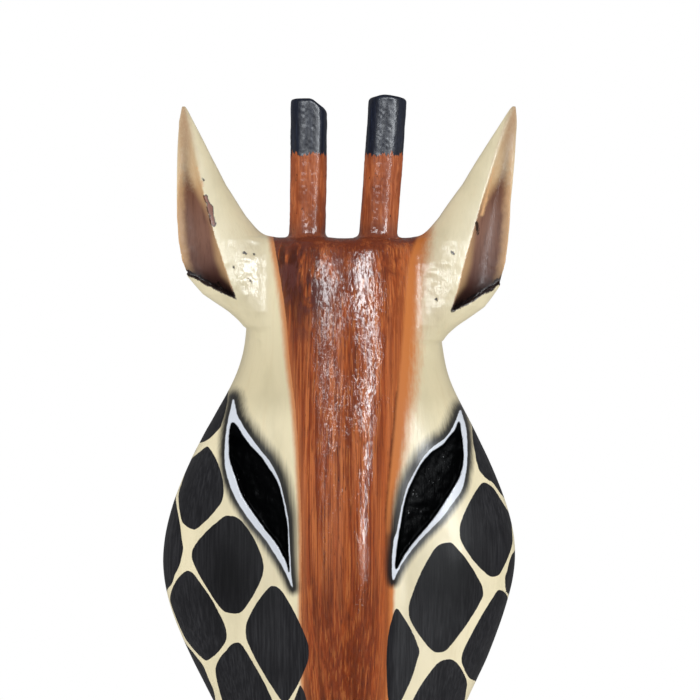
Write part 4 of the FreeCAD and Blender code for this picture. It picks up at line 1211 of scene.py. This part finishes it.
def area_light(name, azimuth, elevation, distance, size, radiance):
    """A softbox that faces the mask from a direction, given by how bright its face looks."""
    data = bpy.data.lights.new(name, "AREA")
    data.shape = "RECTANGLE"
    data.size, data.size_y = size
    data.energy = radiance * math.pi * size[0] * size[1]
    lamp = bpy.data.objects.new(name, data)
    bpy.context.scene.collection.objects.link(lamp)
    a, e = math.radians(azimuth), math.radians(elevation)
    towards = Vector((math.sin(a) * math.cos(e), -math.cos(a) * math.cos(e), math.sin(e)))
    lamp.location = Vector((0, -0.05, -0.03)) + towards * distance
    lamp.rotation_mode = "QUATERNION"
    lamp.rotation_quaternion = towards.to_track_quat("Z", "Y")
    return lamp


def build_studio():
    scene = bpy.context.scene
    scene.view_settings.view_transform = "Standard"
    world = bpy.data.worlds.new("white_room")
    world.use_nodes = True
    scene.world = world
    tree = world.node_tree
    background = tree.nodes["Background"]
    path = tree.nodes.new("ShaderNodeLightPath")
    for_diffuse, for_glossy, for_camera = 0.54, 0.16, 1.0  # the room's brightness, by what looks at it
    level = for_diffuse
    for ray, shown in (("Is Glossy Ray", for_glossy), ("Is Camera Ray", for_camera)):
        made = tree.nodes.new("ShaderNodeMapRange")
        tree.links.new(path.outputs[ray], made.inputs["Value"])
        made.inputs["To Max"].default_value = shown
        if isinstance(level, float):
            made.inputs["To Min"].default_value = level
        else:
            tree.links.new(level, made.inputs["To Min"])
        level = made.outputs[0]
    tree.links.new(level, background.inputs["Strength"])
    background.inputs["Color"].default_value = (1, 1, 1, 1)

    for name, azimuth, elevation, across, tall, level in (
        ("fill_above", -6, 60, 1.0, 0.7, 2.4),
        ("fill_left", -74, -12, 1.1, 1.1, 2.4),
        ("fill_right", 74, -12, 1.1, 1.1, 2.8),
    ):
        fill = area_light(name, azimuth, elevation, 1.5, (across, tall), level)
        fill.visible_glossy = False
    for name, azimuth, elevation, across, tall, level in (
        ("window_left", -17, 16.5, 0.50, 0.38, 15.0),
        ("window_right", 28, 17.5, 0.62, 0.34, 22.0),
        ("window_right_low", 46, 3, 0.22, 0.42, 26.0),
        ("window_left_low", -34, 2, 0.12, 0.30, 3.0),
    ):
        glint = area_light(name, azimuth, elevation, 1.3, (across, tall), level)
        glint.data.color = (0.93, 0.97, 1.0)
        glint.visible_diffuse = False

    floor_mesh = bpy.data.meshes.new("floor")
    floor_radius, floor_height, sides = 0.38, -0.401, 96
    turns = np.linspace(0, 2 * math.pi, sides + 1)[:-1]
    ring = [(floor_radius * math.cos(a), floor_radius * math.sin(a), floor_height) for a in turns]
    floor_mesh.from_pydata(ring, [], [list(range(sides))])
    floor = bpy.data.objects.new("floor", floor_mesh)
    scene.collection.objects.link(floor)
    p = Paint("floor_paint")
    grit = p.noise(6, (1, 1, 1), 4, 0.6)
    pale = p.mix(grit, srgb(246, 246, 245), srgb(240, 240, 239))
    floor_mesh.materials.append(p.finish(pale, 0.7, grit, depth=0.05))

    camera_data = bpy.data.cameras.new("camera")
    camera = bpy.data.objects.new("camera", camera_data)
    scene.collection.objects.link(camera)
    reach, frame_width = 4.0, 0.350
    camera_data.sensor_width = 36.0
    camera_data.lens = camera_data.sensor_width * reach / frame_width
    camera_data.dof.use_dof = False
    camera.location = (0.004, -0.035 - reach, -0.025)
    camera.rotation_euler = (math.pi / 2, 0, 0)
    scene.camera = camera


build_carving()
build_horns()
dress_hardware()
build_studio()
